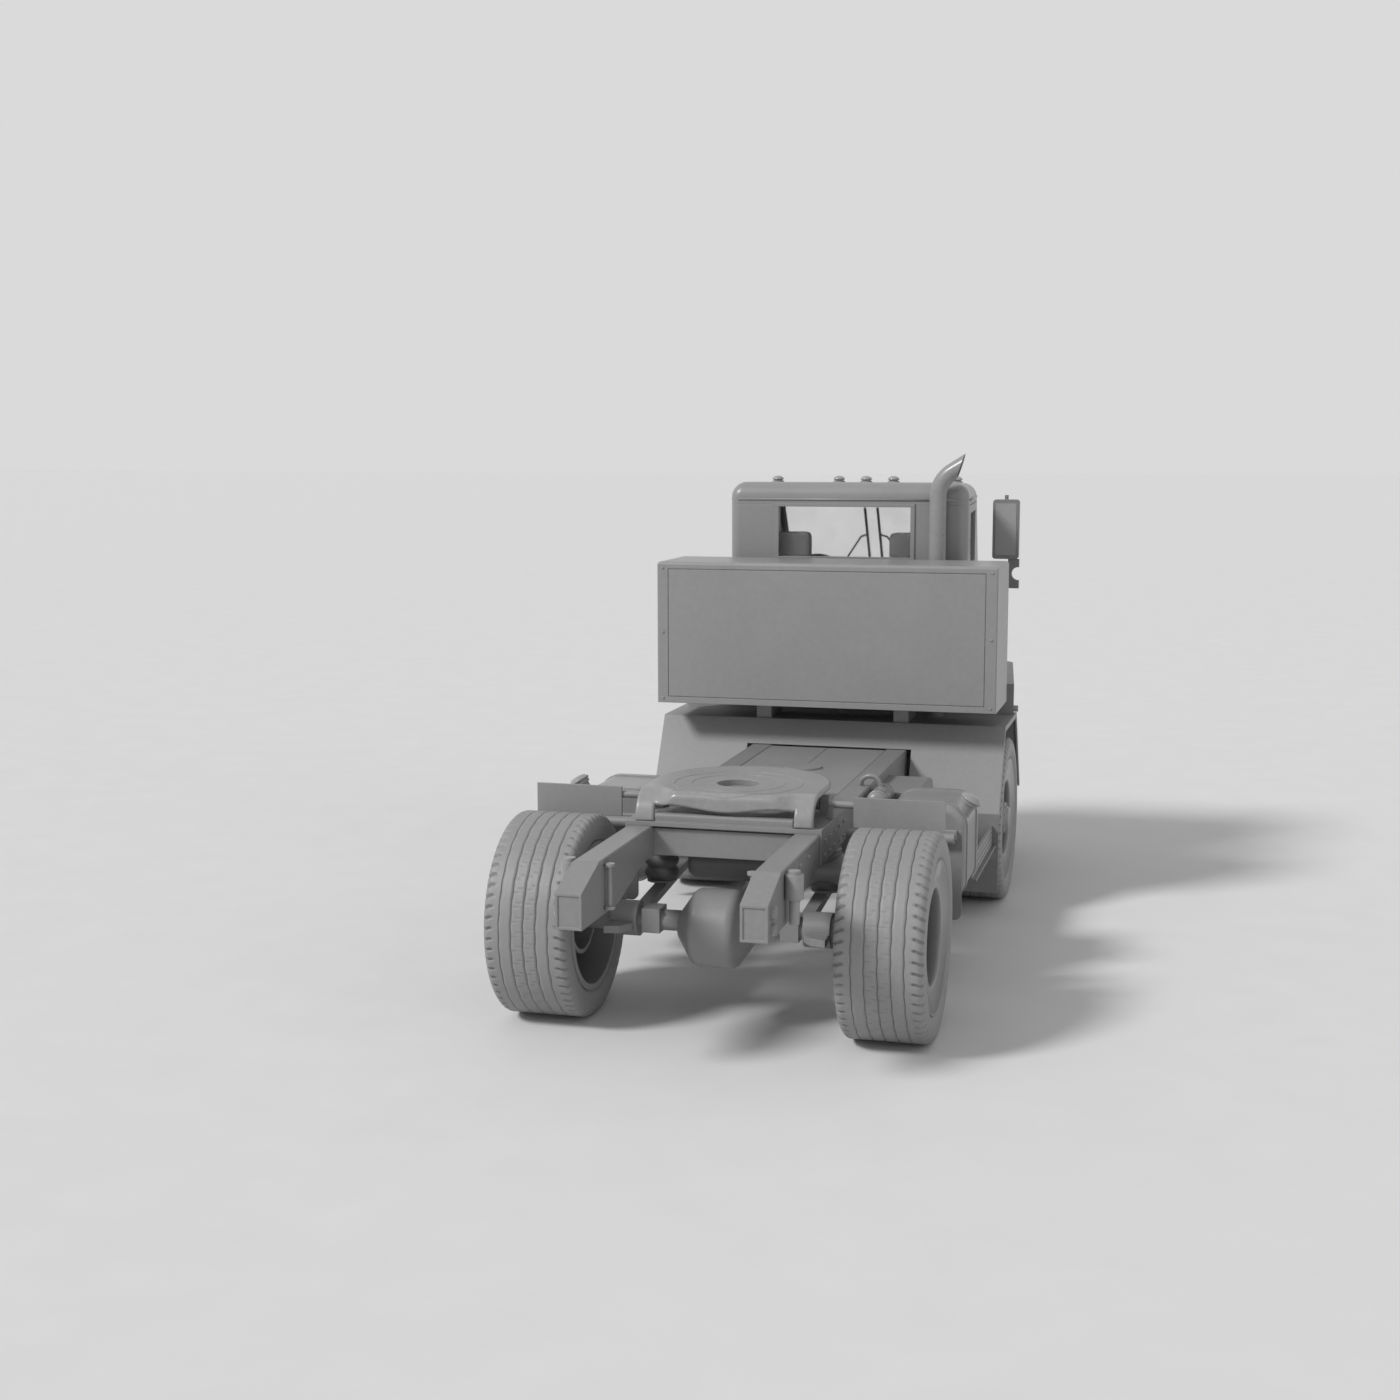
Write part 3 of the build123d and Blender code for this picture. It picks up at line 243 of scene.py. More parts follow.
# Round bar along points, up gives the side that doesn't twist
def tubeShape(points, radius, sides=8, up=(0, 0, 1), closed=False):
    verts, faces = [], []
    points = [Vector(p) for p in points]
    count = len(points)
    last = count - 1
    for i, point in enumerate(points):
        before = points[i - 1] if closed or i else points[0]
        after = points[(i + 1) % count] if closed else points[min(i + 1, last)]
        ahead = (after - before).normalized()
        across = ahead.cross(Vector(up))
        across = across.normalized() if across.length > 0.01 else Vector((1, 0, 0))
        other = across.cross(ahead)
        for angle in circleAngles(sides):
            verts.append(point + (across * math.cos(angle) + other * math.sin(angle)) * radius)
    for i in range(count if closed else last):
        j = (i + 1) % count
        for k in range(sides):
            n = (k + 1) % sides
            faces.append([i * sides + k, i * sides + n, j * sides + n, j * sides + k])
    if not closed:
        faces.append(list(reversed(range(sides))))
        faces.append([last * sides + k for k in range(sides)])
    return verts, faces


# Closed loop through the corners of a flat pane, rounded at each
def roundedLoop(corners, rounding, steps=6):
    corners = [Vector(c) for c in corners]
    points = []
    for i, corner in enumerate(corners):
        back = (corners[i - 1] - corner).normalized() * rounding
        ahead = (corners[(i + 1) % len(corners)] - corner).normalized() * rounding
        for k in range(steps + 1):
            t = k / steps
            points.append(corner + back * (1 - t) ** 2 + ahead * t ** 2)
    return points


# Smooth open path through the points
def smoothPath(points, steps=6):
    points = [Vector(point) for point in points]
    points = points[:1] + points + points[-1:]
    path = []
    for k in range(1, len(points) - 2):
        before, start, end, after = points[k - 1:k + 3]
        slope = end - before
        bend = before * 2 - start * 5 + end * 4 - after
        twist = start * 3 - before - end * 3 + after
        for step in range(steps):
            t = step / steps
            path.append(start + slope * (t / 2) + bend * (t * t / 2) + twist * (t ** 3 / 2))
    return path + points[-1:]


# Tyres: wavy grooves, stepped slits on the middle ribs and slanted cuts on the shoulders
tyreLook = {"radius": 0.55, "half": 0.232, "shoulder": 0.158, "steps": 720, "ribSteps": 5,
            "grooves": (-0.135, -0.068, 0.0, 0.068, 0.135), "grooveHalf": 0.003, "grooveFloor": 0.6,
            "depth": 0.007, "wave": 0.0022, "waves": 30,
            "cuts": 60, "cutSteps": 3, "cutStart": 0.176, "cutLow": 0.52, "cutDepth": 0.013,
            "cutInset": 0.007, "cutSlant": 70,
            "slits": 45, "slitDepth": 0.0045, "slitRibs": (2, 3), "slitJump": 5, "slitShift": 4}
tyreEdge = ((0.207, 0.3863), (0.207, 0.406), (0.221, 0.4155), (0.228, 0.432), (0.2275, 0.440), (0.231, 0.445),
            (0.232, 0.470), (0.231, 0.492), (0.2285, 0.512), (0.225, 0.526), (0.2185, 0.537), (0.209, 0.546),
            (0.198, 0.550), (0.185, 0.5505), (0.172, 0.5502), (0.158, 0.550))   # half width, radius


def tyreProfile():
    profile = [(-x, r, "side") for x, r in tyreEdge]
    ribs = [-tyreLook["shoulder"]] + list(tyreLook["grooves"]) + [tyreLook["shoulder"]]
    half, steps = tyreLook["grooveHalf"], tyreLook["ribSteps"]
    for k in range(len(ribs) - 1):
        low, high = ribs[k] + half, ribs[k + 1] - half
        for step in range(steps + 1):
            kind = "groove" if step in (0, steps) else k
            profile.append((low + (high - low) * step / steps, tyreLook["radius"], kind))
        if k < len(ribs) - 2:
            for side in (-tyreLook["grooveFloor"], tyreLook["grooveFloor"]):
                profile.append((ribs[k + 1] + side * half, tyreLook["radius"] - tyreLook["depth"], "groove"))
    return profile + [(x, r, "side") for x, r in reversed(tyreEdge)], ribs


def tyreShape(centre):
    profile, ribs = tyreProfile()
    count, width = tyreLook["steps"], len(profile)
    cut, slit = count // tyreLook["cuts"], count // tyreLook["slits"]
    verts, faces = [], []
    for step, angle in enumerate(circleAngles(count)):
        wave = tyreLook["wave"] * (abs((step * tyreLook["waves"] / count) % 1 * 4 - 2) - 1)   # zigzag
        for x, r, kind in profile:
            if kind == "side" and abs(x) > tyreLook["cutStart"] and r > tyreLook["cutLow"]:
                slant = int((tyreLook["half"] - abs(x)) * tyreLook["cutSlant"])
                shift = step + (cut // 2 if x < 0 else 0) + slant
                if shift % cut < tyreLook["cutSteps"]:
                    r -= tyreLook["cutDepth"]
                    x -= math.copysign(tyreLook["cutInset"], x)
            elif kind == "groove":
                x += wave
            elif kind in tyreLook["slitRibs"]:
                across = (x - ribs[kind]) / (ribs[kind + 1] - ribs[kind])
                jump = tyreLook["slitJump"] if across > 0.5 else 0
                if (step + jump + kind * tyreLook["slitShift"]) % slit == 0:
                    r -= tyreLook["slitDepth"]
            verts.append((centre[0] + x, centre[1] + r * math.cos(angle), centre[2] + r * math.sin(angle)))
    for step in range(count):
        after = (step + 1) % count
        for k in range(width):
            n = (k + 1) % width
            faces.append((step * width + k, step * width + n, after * width + n, after * width + k))
    return verts, faces


def sideWord(side):
    return "".join(word.capitalize() for word in side.split("_"))


def outward(side):
    return -1 if side.endswith("left") else 1


for side, centre in wheelPlaces.items():
    tyre = addPiece("roadTyre" + sideWord(side), *tyreShape(centre), "tyre_rubber", "wheel_" + side)
    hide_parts("tyre_" + side)
print("tyres made")

# Wheel nuts on the discs and small bolts on the hubs
# ring is the radius of their circle, face is how far out they sit from the wheel's middle
nutLook = {"nut": {"count": 10, "radius": 0.015, "height": 0.02, "shift": 0.0},
           "bolt": {"count": 8, "radius": 0.009, "height": 0.006, "shift": 0.5},
           "rear": {"nut": {"ring": 0.178, "face": 0.02}, "bolt": {"ring": 0.084, "face": 0.105}},
           "front": {"nut": {"ring": 0.137, "face": 0.11}, "bolt": {"ring": 0.090, "face": 0.206}}}
for side, centre in wheelPlaces.items():
    out = outward(side)
    nuts = []
    for kind, seat in nutLook[side.split("_")[0]].items():
        head = nutLook[kind]
        for angle in circleAngles(head["count"], head["shift"]):
            across, tall = seat["ring"] * math.cos(angle), seat["ring"] * math.sin(angle)
            place = (centre[0] + out * seat["face"], centre[1] + across, centre[2] + tall)
            nuts.append(prism(place, (out, 0, 0), head["radius"], head["height"]))
    addPiece("wheelNuts" + sideWord(side), *gather(nuts), "fitting_steel", "wheel_" + side, smooth=False)
print("nuts made")

# Shallow outer dish of the wheels, from the rim's edge to a rolled lip round the deep middle
# The front wheels also have hub caps
dishLook = {"sides": 96, "capSides": 48,
            "rear": ((0.2215, 0.3925), (0.204, 0.274), (0.2045, 0.264), (0.2025, 0.258), (0.198, 0.2545),
                     (0.185, 0.2535), (0.115, 0.2535), (0.115, 0.262), (0.217, 0.3925)),
            "front": ((0.2215, 0.3925), (0.205, 0.272), (0.2055, 0.262), (0.2035, 0.256), (0.199, 0.2525),
                      (0.188, 0.2515), (0.160, 0.2515), (0.216, 0.3925)),
            "cap": ((0.158, 0.100), (0.162, 0.106), (0.199, 0.104), (0.2055, 0.100), (0.206, 0.077),
                    (0.223, 0.075), (0.229, 0.068), (0.231, 0.052), (0.231, 0.003))}   # outward, radius
for side, centre in wheelPlaces.items():
    axis = (outward(side), 0, 0)
    dish = latheShape(dishLook[side.split("_")[0]], centre, axis, dishLook["sides"], ring=True)
    addPiece("wheelDish" + sideWord(side), *dish, "wheel_paint", "wheel_" + side)
    if side.startswith("front"):
        cap = latheShape(dishLook["cap"], centre, axis, dishLook["capSides"])
        addPiece("hubCap" + sideWord(side), *cap, "fitting_steel", "wheel_" + side)
print("wheel dishes made")

# Bolt heads on the fifth wheel's base, along the rails, on the rail tails and on the flaps
boltLook = {
    "rails": (
        {"x": 0.538, "y": (0.07, 0.20, 0.33, 0.46, 0.59), "z": (0.94, 1.02), "radius": 0.012, "rise": 0.010},
        {"x": 0.526, "y": (1.65, 1.90, 2.40, 2.65, 3.00), "z": (0.925,), "radius": 0.011, "rise": 0.009},
        {"x": 0.526, "y": (-0.62, -0.50, -0.30), "z": (1.01,), "radius": 0.012, "rise": 0.012}),
    "flaps": {"x": (0.74, 0.92, 1.10), "y": 0.685, "z": 0.95, "radius": 0.012, "rise": 0.009}}
bolts = []
for sign in (-1, 1):
    for row in boltLook["rails"]:
        for y in row["y"]:
            for z in row["z"]:
                place = fromAxle(sign * row["x"], y, z)
                bolts.append(prism(place, (sign, 0, 0), row["radius"], row["rise"]))
    row = boltLook["flaps"]
    for x in row["x"]:
        place = fromAxle(sign * x, row["y"], row["z"])
        bolts.append(prism(place, (0, -1, 0), row["radius"], row["rise"]))
addPiece("chassisBolts", *gather(bolts), "fitting_steel", "chassis", smooth=False)

# Screws down both edges of the locker's back
screwLook = {"x": 1.098, "y": 2.632, "z": (1.385, 1.83, 2.262), "radius": 0.010, "height": 0.006, "sides": 10}
screws = []
for sign in (-1, 1):
    for z in screwLook["z"]:
        place = fromAxle(sign * screwLook["x"], screwLook["y"], z)
        screws.append(prism(place, (0, -1, 0), screwLook["radius"], screwLook["height"], screwLook["sides"]))
addPiece("lockerScrews", *gather(screws), "fitting_steel", "chassis", smooth=False)
print("bolts made")

# Air springs between the axle's arms and the rails, with three lobes and a steel plate at each end
springLook = {"x": 0.47, "y": 0.46, "low": 0.655, "high": 0.896,
              "radius": 0.078, "bulge": 0.018, "lobes": 3, "rows": 36,
              "plate": 0.012, "plateOver": 0.006, "plateCap": 0.97, "plateSides": 32}
bellows, springPlates = [], []
for sign in (-1, 1):
    place = Vector(fromAxle(sign * springLook["x"], springLook["y"], 0))
    low, high = springLook["low"] + springLook["plate"], springLook["high"] - springLook["plate"]
    profile = []
    for row in range(springLook["rows"] + 1):
        share = row / springLook["rows"]
        swell = springLook["bulge"] * abs(math.sin(math.pi * springLook["lobes"] * share))
        profile.append((low + (high - low) * share, springLook["radius"] + swell))
    bellows.append(latheShape(profile, place, (0, 0, 1)))
    for z in (springLook["low"], high):
        plateRadius = springLook["radius"] + springLook["plateOver"]
        springPlates.append(prism(place + Vector((0, 0, z)), (0, 0, 1), plateRadius, springLook["plate"],
                                  sides=springLook["plateSides"], cap=springLook["plateCap"]))
springs = addPiece("airSprings", *gather(bellows), "spring_rubber", "chassis")
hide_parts("rear_springs")
addPiece("springPlates", *gather(springPlates), "fitting_steel", "chassis", smooth=False)
print("springs made")

# Air bottle beside the right rail, on two brackets with bands, and a bent pipe from the deck down to it
bottleLook = {"x": 0.601, "z": 1.005, "back": 1.23, "length": 0.36, "radius": 0.058,
              "dome": 0.03, "domeSteps": 8, "tip": 0.04, "rail": 0.526,
              "bracket": 0.02, "bracketShares": (0.22, 0.78), "bracketIn": 0.03, "band": (0.001, 0.004),
              "pipe": 0.0145, "pipeSides": 14,
              "pipePlaces": ((0.470, 1.486, 1.048), (0.484, 1.458, 1.100), (0.525, 1.446, 1.124),
                             (0.570, 1.446, 1.112), (0.594, 1.446, 1.070), (0.599, 1.446, 1.0))}


def bottleShape():
    tip, steps = bottleLook["tip"], bottleLook["domeSteps"]
    profile = []
    for k in range(steps + 1):
        turn = math.radians(90 * k / steps)
        girth = bottleLook["radius"] * (tip + (1 - tip) * math.sin(turn))
        profile.append((bottleLook["dome"] * (1 - math.cos(turn)), girth))
    profile += [(bottleLook["length"] - along, radius) for along, radius in reversed(profile)]
    return latheShape(profile, fromAxle(bottleLook["x"], bottleLook["back"], bottleLook["z"]), (0, 1, 0))


pipePath = smoothPath([fromAxle(*place) for place in bottleLook["pipePlaces"]])
pipe = tubeShape(pipePath, bottleLook["pipe"], sides=bottleLook["pipeSides"], up=(0, 1, 0))
bottleParts = [bottleShape(), pipe]
for share in bottleLook["bracketShares"]:
    centre = fromAxle(bottleLook["x"], bottleLook["back"] + bottleLook["length"] * share, bottleLook["z"])
    half = bottleLook["bracket"]
    low = (bottleLook["rail"], centre[1] - half, centre[2] - half)
    high = (bottleLook["x"] - bottleLook["bracketIn"], centre[1] + half, centre[2] + half)
    bottleParts.append(boxShape(low, high))
    inner, outer = [bottleLook["radius"] + over for over in bottleLook["band"]]
    band = [(-half, inner), (-half, outer), (half, outer), (half, inner)]
    bottleParts.append(latheShape(band, centre, (0, 1, 0)))
bottle = addPiece("airBottle", *gather(bottleParts), "tank_metal", "chassis")
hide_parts("air_bottle")
print("air bottle made")

# Raised lozenges on the outer faces of the side steps, leaning to and fro
stepLook = {"x": 1.13, "start": 1.61, "foot": 0.512,
            "rows": 4, "columns": 27, "pitch": 0.036, "rowShare": 0.9,
            "long": 0.017, "short": 0.008, "rise": 0.006}
lozengeFaces = [(0, 1, 4), (1, 2, 4), (2, 3, 4), (3, 0, 4), (3, 2, 1, 0)]
lozenges = []
for sign in (-1, 1):
    for row in range(stepLook["rows"]):
        for column in range(stepLook["columns"]):
            x, y, z = fromAxle(sign * stepLook["x"], stepLook["start"] + column * stepLook["pitch"],
                               stepLook["foot"] + row * stepLook["pitch"] * stepLook["rowShare"])
            lean = 1 if (row + column) % 2 else -1
            long, short = stepLook["long"], stepLook["short"]
            corners = [(x, y - short, z - long * lean * 0.5), (x, y + long, z - short * lean),
                       (x, y + short, z + long * lean * 0.5), (x, y - long, z + short * lean)]
            top = (x + sign * stepLook["rise"], y, z)
            lozenges.append((corners + [top], lozengeFaces))
# The lozenges take the paler fitting steel over the darker step plate: a painted highlight on the raised
# bumps
addPiece("stepLozenges", *gather(lozenges), "fitting_steel", "chassis", smooth=False)
print("steps dressed")

# Fifth wheel plate: one thick sheet with a round front
# Behind, it bends down into two legs with a waved lip between them
plateLook = {"half": 0.488, "roundY": 0.43, "top": 1.25, "thick": 0.034,
             "edge": 0.014, "edgeUnder": 0.7, "edgeGuard": 0.004,
             "legInner": 0.383, "legBend": 0.160, "legDrop": 0.1645, "blendStart": 0.26,
             "lipBend": 0.037, "lipDrop": 0.074, "lipDip": 0.028, "dipHalf": 0.30, "lipSteps": 60,
             "holeY": 0.35, "holeRadius": 0.117, "holeRim": 0.006, "holeEdge": 0.001, "holeGuard": 0.004,
             "rings": (0.256, 0.352), "ringBar": 0.0022, "ringLift": 0.0003,
             "earInner": 0.400, "earOuter": 0.436, "earHalf": 0.045, "earIn": 0.004}
plateCuts = {"back": -0.10, "backPitch": 0.006, "backCount": 45,
             "side": 0.25, "sidePitch": 0.012, "sideCount": 13}


# The bend is tight at the lip and wide at the legs
def plateBendRadius(x):
    share = (abs(x) - plateLook["blendStart"]) / (plateLook["legInner"] - plateLook["blendStart"])
    share = min(max(share, 0.0), 1.0)
    share = share * share * (3 - 2 * share)
    return plateLook["lipBend"] + (plateLook["legBend"] - plateLook["lipBend"]) * share


# Place on the flat sheet whose bent height lies drop below the top
def plateReach(x, drop):
    radius = plateBendRadius(x)
    if drop < radius:
        return radius - radius * math.acos(1 - drop / radius)
    return 2 * radius - radius * math.pi / 2 - drop


# Bends a place on the flat sheet, depth lies under its face
def plateBent(x, along, depth):
    radius = plateBendRadius(x)
    turn = max((radius - along) / radius, 0.0)
    if turn == 0.0:
        return fromAxle(x, along, plateLook["top"] - depth)
    extra = max(turn - math.pi / 2, 0.0) * radius
    turn = min(turn, math.pi / 2)
    reach = radius - depth
    height = plateLook["top"] - radius + reach * math.cos(turn) - extra
    return fromAxle(x, radius - reach * math.sin(turn), height)


def plateOutline():
    half, inner, steps = plateLook["half"], plateLook["legInner"], plateLook["lipSteps"]
    foot = plateReach(half, plateLook["legDrop"])
    turns = [math.radians(a) for a in range(0, 181, 3)]
    points = [(half * math.cos(t), plateLook["roundY"] + half * math.sin(t)) for t in turns]
    points += [(-half, foot), (-inner, foot)]
    for k in range(steps + 1):
        x = -inner + 2 * inner * k / steps
        dip = plateLook["lipDip"] * (1 + math.cos(math.pi * min(abs(x) / plateLook["dipHalf"], 1.0))) / 2
        points.append((x, plateReach(x, plateLook["lipDrop"] + dip)))
    return points + [(inner, foot), (half, foot)]


# Outline moved into the sheet by inset
def insetLoop(points, inset):
    moved = []
    for i, point in enumerate(points):
        here = Vector(point)
        before = (here - Vector(points[i - 1])).normalized()
        after = (Vector(points[(i + 1) % len(points)]) - here).normalized()
        afterNormal = Vector((-after.y, after.x))
        normal = (Vector((-before.y, before.x)) + afterNormal).normalized()
        moved.append(here + normal * inset / max(normal.dot(afterNormal), 0.5))
    return moved


# Insets and depths of the rows of points round the plate's edge and in its hole
def plateRows():
    edge, thick, under = plateLook["edge"], plateLook["thick"], plateLook["edgeUnder"]
    turns = [math.radians(a) for a in range(0, 91, 18)]
    rounding = [(edge * (1 - math.sin(t)), edge * (1 - math.cos(t))) for t in turns]
    outer = [(edge + plateLook["edgeGuard"], 0.0)] + rounding
    outer += [(inset * under, thick - depth * under) for inset, depth in reversed(rounding)]
    bevel, guard = plateLook["holeEdge"], plateLook["holeGuard"]
    hole = [(plateLook["holeRim"], 0.0), (bevel, 0.0), (0.0, bevel), (0.0, guard)]
    hole += [(0.0, thick - guard), (0.0, thick - bevel), (bevel, thick)]
    return outer, hole


def plateShape():
    turns = [math.radians(a) for a in range(0, 360, 6)]
    radius = plateLook["holeRadius"]
    hole = [(radius * math.cos(t), plateLook["holeY"] - radius * math.sin(t)) for t in turns]
    outerRows, holeRows = plateRows()
    sheet = bmesh.new()
    rims = {"top": [], "under": []}
    for loop, loopRows in ((plateOutline(), outerRows), (hole, holeRows)):
        rows = []
        for inset, depth in loopRows:
            rows.append([sheet.verts.new((p.x, p.y, -depth)) for p in insetLoop(loop, inset)])
        count = len(loop)
        for upper, lower in zip(rows, rows[1:]):
            for k in range(count):
                n = (k + 1) % count
                sheet.faces.new((upper[k], upper[n], lower[n], lower[k]))
        for word, row in (("top", rows[0]), ("under", rows[-1])):
            rims[word] += [sheet.edges.get((row[k], row[(k + 1) % count])) for k in range(count)]
    for rim in rims.values():
        bmesh.ops.triangle_fill(sheet, edges=rim, use_beauty=True)
    cuts = []   # lines across the sheet, so that it bends smoothly
    for k in range(plateCuts["backCount"]):
        cuts.append(((0, plateCuts["back"] + plateCuts["backPitch"] * k, 0), (0, 1, 0)))
    for sign in (-1, 1):
        for k in range(plateCuts["sideCount"]):
            cuts.append(((sign * (plateCuts["side"] + plateCuts["sidePitch"] * k), 0, 0), (1, 0, 0)))
    for place, normal in cuts:
        everything = sheet.verts[:] + sheet.edges[:] + sheet.faces[:]
        bmesh.ops.bisect_plane(sheet, geom=everything, plane_co=place, plane_no=normal, dist=1e-5)
    sheet.verts.index_update()
    verts = [plateBent(v.co.x, v.co.y, -v.co.z) for v in sheet.verts]
    faces = [[v.index for v in f.verts] for f in sheet.faces]
    sheet.free()
    return verts, faces


# Ear under the plate that holds the tilt pin
def earShape(low, high):
    half = plateLook["earHalf"]
    pinY, pinZ = jointPlaces["fifth_wheel_tilt"][1:]
    root = plateLook["top"] - plateLook["thick"] + plateLook["earIn"]
    turns = [math.radians(a) for a in range(0, 181, 9)]
    profile = [(pinY - half, root), (pinY + half, root)]
    profile += [(pinY + half * math.cos(t), pinZ - half * math.sin(t)) for t in turns]
    count = len(profile)
    verts = [(x, y, z) for x in (low, high) for y, z in profile]
    faces = [[k, (k + 1) % count, count + (k + 1) % count, count + k] for k in range(count)]
    return verts, faces + [list(range(count)), list(range(count, 2 * count))]


plate = addPiece("couplingPlate", *plateShape(), "plate_steel", "fifth_wheel")
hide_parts("fifth_wheel_plate")
earInner, earOuter = plateLook["earInner"], plateLook["earOuter"]
ears = [earShape(earInner, earOuter), earShape(-earOuter, -earInner)]
addPiece("plateEars", *gather(ears), "plate_steel", "fifth_wheel", smooth=False)
rings = []
for radius in plateLook["rings"]:
    points = []
    for t in circleAngles(90):
        along = plateLook["holeY"] + radius * math.sin(t)
        points.append(plateBent(radius * math.cos(t), along, -plateLook["ringLift"]))
    rings.append(tubeShape(points, plateLook["ringBar"], sides=5, closed=True))
addPiece("plateRings", *gather(rings), "plate_steel", "fifth_wheel")
print("coupling plate made")

# Mirror faces
mirrorLook = {"x": 0.975, "half": 0.076, "y": (4.477, 4.481), "z": (2.262, 2.641)}
mirrorFaces = []
for sign in (-1, 1):
    low, high = [fromAxle(sign * mirrorLook["x"] + end * mirrorLook["half"], y, z)
                 for end, y, z in zip((-1, 1), mirrorLook["y"], mirrorLook["z"])]
    mirrorFaces.append(boxShape(low, high))
addPiece("mirrorFaces", *gather(mirrorFaces), "lamp_lens", "chassis", smooth=False)

# Frame of four bars round the back window
surroundLook = {"y": (3.412, 3.421), "left": (-0.512, -0.482), "right": (0.442, 0.472),
                "foot": (2.277, 2.300), "head": (2.645, 2.668)}
across = (surroundLook["left"][0], surroundLook["right"][1])
between = (surroundLook["foot"][1], surroundLook["head"][0])
surround = []
for wide, tall in ((across, surroundLook["head"]), (across, surroundLook["foot"]),
                   (surroundLook["left"], between), (surroundLook["right"], between)):
    low, high = [fromAxle(*place) for place in zip(wide, surroundLook["y"], tall)]
    surround.append(boxShape(low, high))
addPiece("windowSurround", *gather(surround), "cab_paint", "chassis", smooth=False)

# Bead along the roof's lower edge, across the back and down both sides
beadLook = {"z": 2.695, "bar": 0.007, "half": 0.775, "back": 3.418,
            "sideBack": (0.8365, 3.50), "sideFront": (0.7745, 4.36)}
beadEnds = [[(sign * beadLook["half"], beadLook["back"]) for sign in (-1, 1)]]
for sign in (-1, 1):
    beadEnds.append([(sign * x, y) for x, y in (beadLook["sideBack"], beadLook["sideFront"])])
bead = [tubeShape([fromAxle(x, y, beadLook["z"]) for x, y in ends], beadLook["bar"]) for ends in beadEnds]
addPiece("roofBead", *gather(bead), "cab_paint", "chassis")

# Rubber seals round the windscreen and the door glass
sealLook = {"screenHalf": 0.680, "screenTop": (4.4463, 2.630), "screenFoot": (4.7507, 2.140),
            "screenBar": 0.012, "rounding": 0.03,
            "doorBack": (0.8032, 3.650), "doorFront": (0.7566, 4.290), "doorLow": 2.130, "doorHigh": 2.600,
            "doorBar": 0.009, "doorLean": 0.07}
screenTop, screenFoot = sealLook["screenTop"], sealLook["screenFoot"]
screenCorners = []
for edge, signs in ((screenTop, (-1, 1)), (screenFoot, (1, -1))):
    screenCorners += [fromAxle(sign * sealLook["screenHalf"], *edge) for sign in signs]
screenUp = (0, screenTop[1] - screenFoot[1], screenFoot[0] - screenTop[0])
screenLoop = roundedLoop(screenCorners, sealLook["rounding"])
seal = tubeShape(screenLoop, sealLook["screenBar"], up=screenUp, closed=True)
addPiece("screenSeal", *seal, "spring_rubber", "chassis")
for side in ("left", "right"):
    sign = outward(side)
    corners = []
    for edge, heights in (("doorBack", ("doorLow", "doorHigh")), ("doorFront", ("doorHigh", "doorLow"))):
        x, y = sealLook[edge]
        corners += [fromAxle(sign * x, y, sealLook[height]) for height in heights]
    doorLoop = roundedLoop(corners, sealLook["rounding"])
    seal = tubeShape(doorLoop, sealLook["doorBar"], up=(sign, sealLook["doorLean"], 0), closed=True)
    addPiece("doorSeal" + side.capitalize(), *seal, "spring_rubber", "door_" + side)
print("cab trimmed")

# Two knobs on the back end of each fuel tank
knobLook = ({"x": 1.122, "y": 1.004, "z": 0.845, "radius": 0.019, "height": 0.034, "sides": 14, "cap": 0.55},
            {"x": 1.126, "y": 1.004, "z": 0.785, "radius": 0.012, "height": 0.024, "sides": 12, "cap": 0.7})
knobs = []
for sign in (-1, 1):
    for knob in knobLook:
        place = fromAxle(sign * knob["x"], knob["y"], knob["z"])
        knobs.append(prism(place, (0, -1, 0), knob["radius"], knob["height"], knob["sides"], knob["cap"]))
addPiece("tankKnobs", *gather(knobs), "fitting_steel", "chassis", smooth=False)

# Domed caps on the slanted filler necks
fillerLook = {"x": 1.18, "y": 1.1006, "z": 1.084, "slant": (0.527, 0.85),
              "profile": ((-0.014, 0.056), (-0.013, 0.0635), (-0.004, 0.0645), (0.0, 0.061), (0.004, 0.054),
                          (0.012, 0.049), (0.018, 0.036), (0.0205, 0.018), (0.021, 0.002))}   # along, radius
caps = []
for sign in (-1, 1):
    axis = (sign * fillerLook["slant"][0], 0, fillerLook["slant"][1])
    place = fromAxle(sign * fillerLook["x"], fillerLook["y"], fillerLook["z"])
    caps.append(latheShape(fillerLook["profile"], place, axis))
addPiece("fillerCaps", *gather(caps), "fitting_steel", "chassis")

# Rings round the headlamps
lampLook = {"x": 0.72, "y": 4.889, "z": 0.96, "ring": 0.088, "bar": 0.008, "steps": 36}
lampRings = []
for sign in (-1, 1):
    circle = []
    for t in circleAngles(lampLook["steps"]):
        across, tall = lampLook["ring"] * math.cos(t), lampLook["ring"] * math.sin(t)
        circle.append(fromAxle(sign * lampLook["x"] + across, lampLook["y"], lampLook["z"] + tall))
    lampRings.append(tubeShape(circle, lampLook["bar"], up=(0, 1, 0), closed=True))
addPiece("lampRings", *gather(lampRings), "trim_plastic", "chassis")

# Domes of the roof lamps
domeLook = {"x": (-0.655, -0.2, 0.0, 0.2, 0.655), "y": 4.15, "foot": 2.816,
            "radius": 0.0425, "height": 0.028, "sides": 28}
turns = [math.radians(a) for a in range(0, 81, 10)]
domeProfile = [(domeLook["height"] * math.sin(t), domeLook["radius"] * math.cos(t)) for t in turns]
domes = []
for x in domeLook["x"]:
    place = fromAxle(x, domeLook["y"], domeLook["foot"])
    domes.append(latheShape(domeProfile, place, (0, 0, 1), sides=domeLook["sides"]))
addPiece("roofDomes", *gather(domes), "lamp_lens", "chassis")

# Blank plate on the bumper
bumperPlateLook = {"low": (-0.26, 5.008, 0.555), "high": (0.26, 5.014, 0.665)}
bumperPlate = boxShape(fromAxle(*bumperPlateLook["low"]), fromAxle(*bumperPlateLook["high"]))
addPiece("bumperPlate", *bumperPlate, "lamp_lens", "chassis", smooth=False)

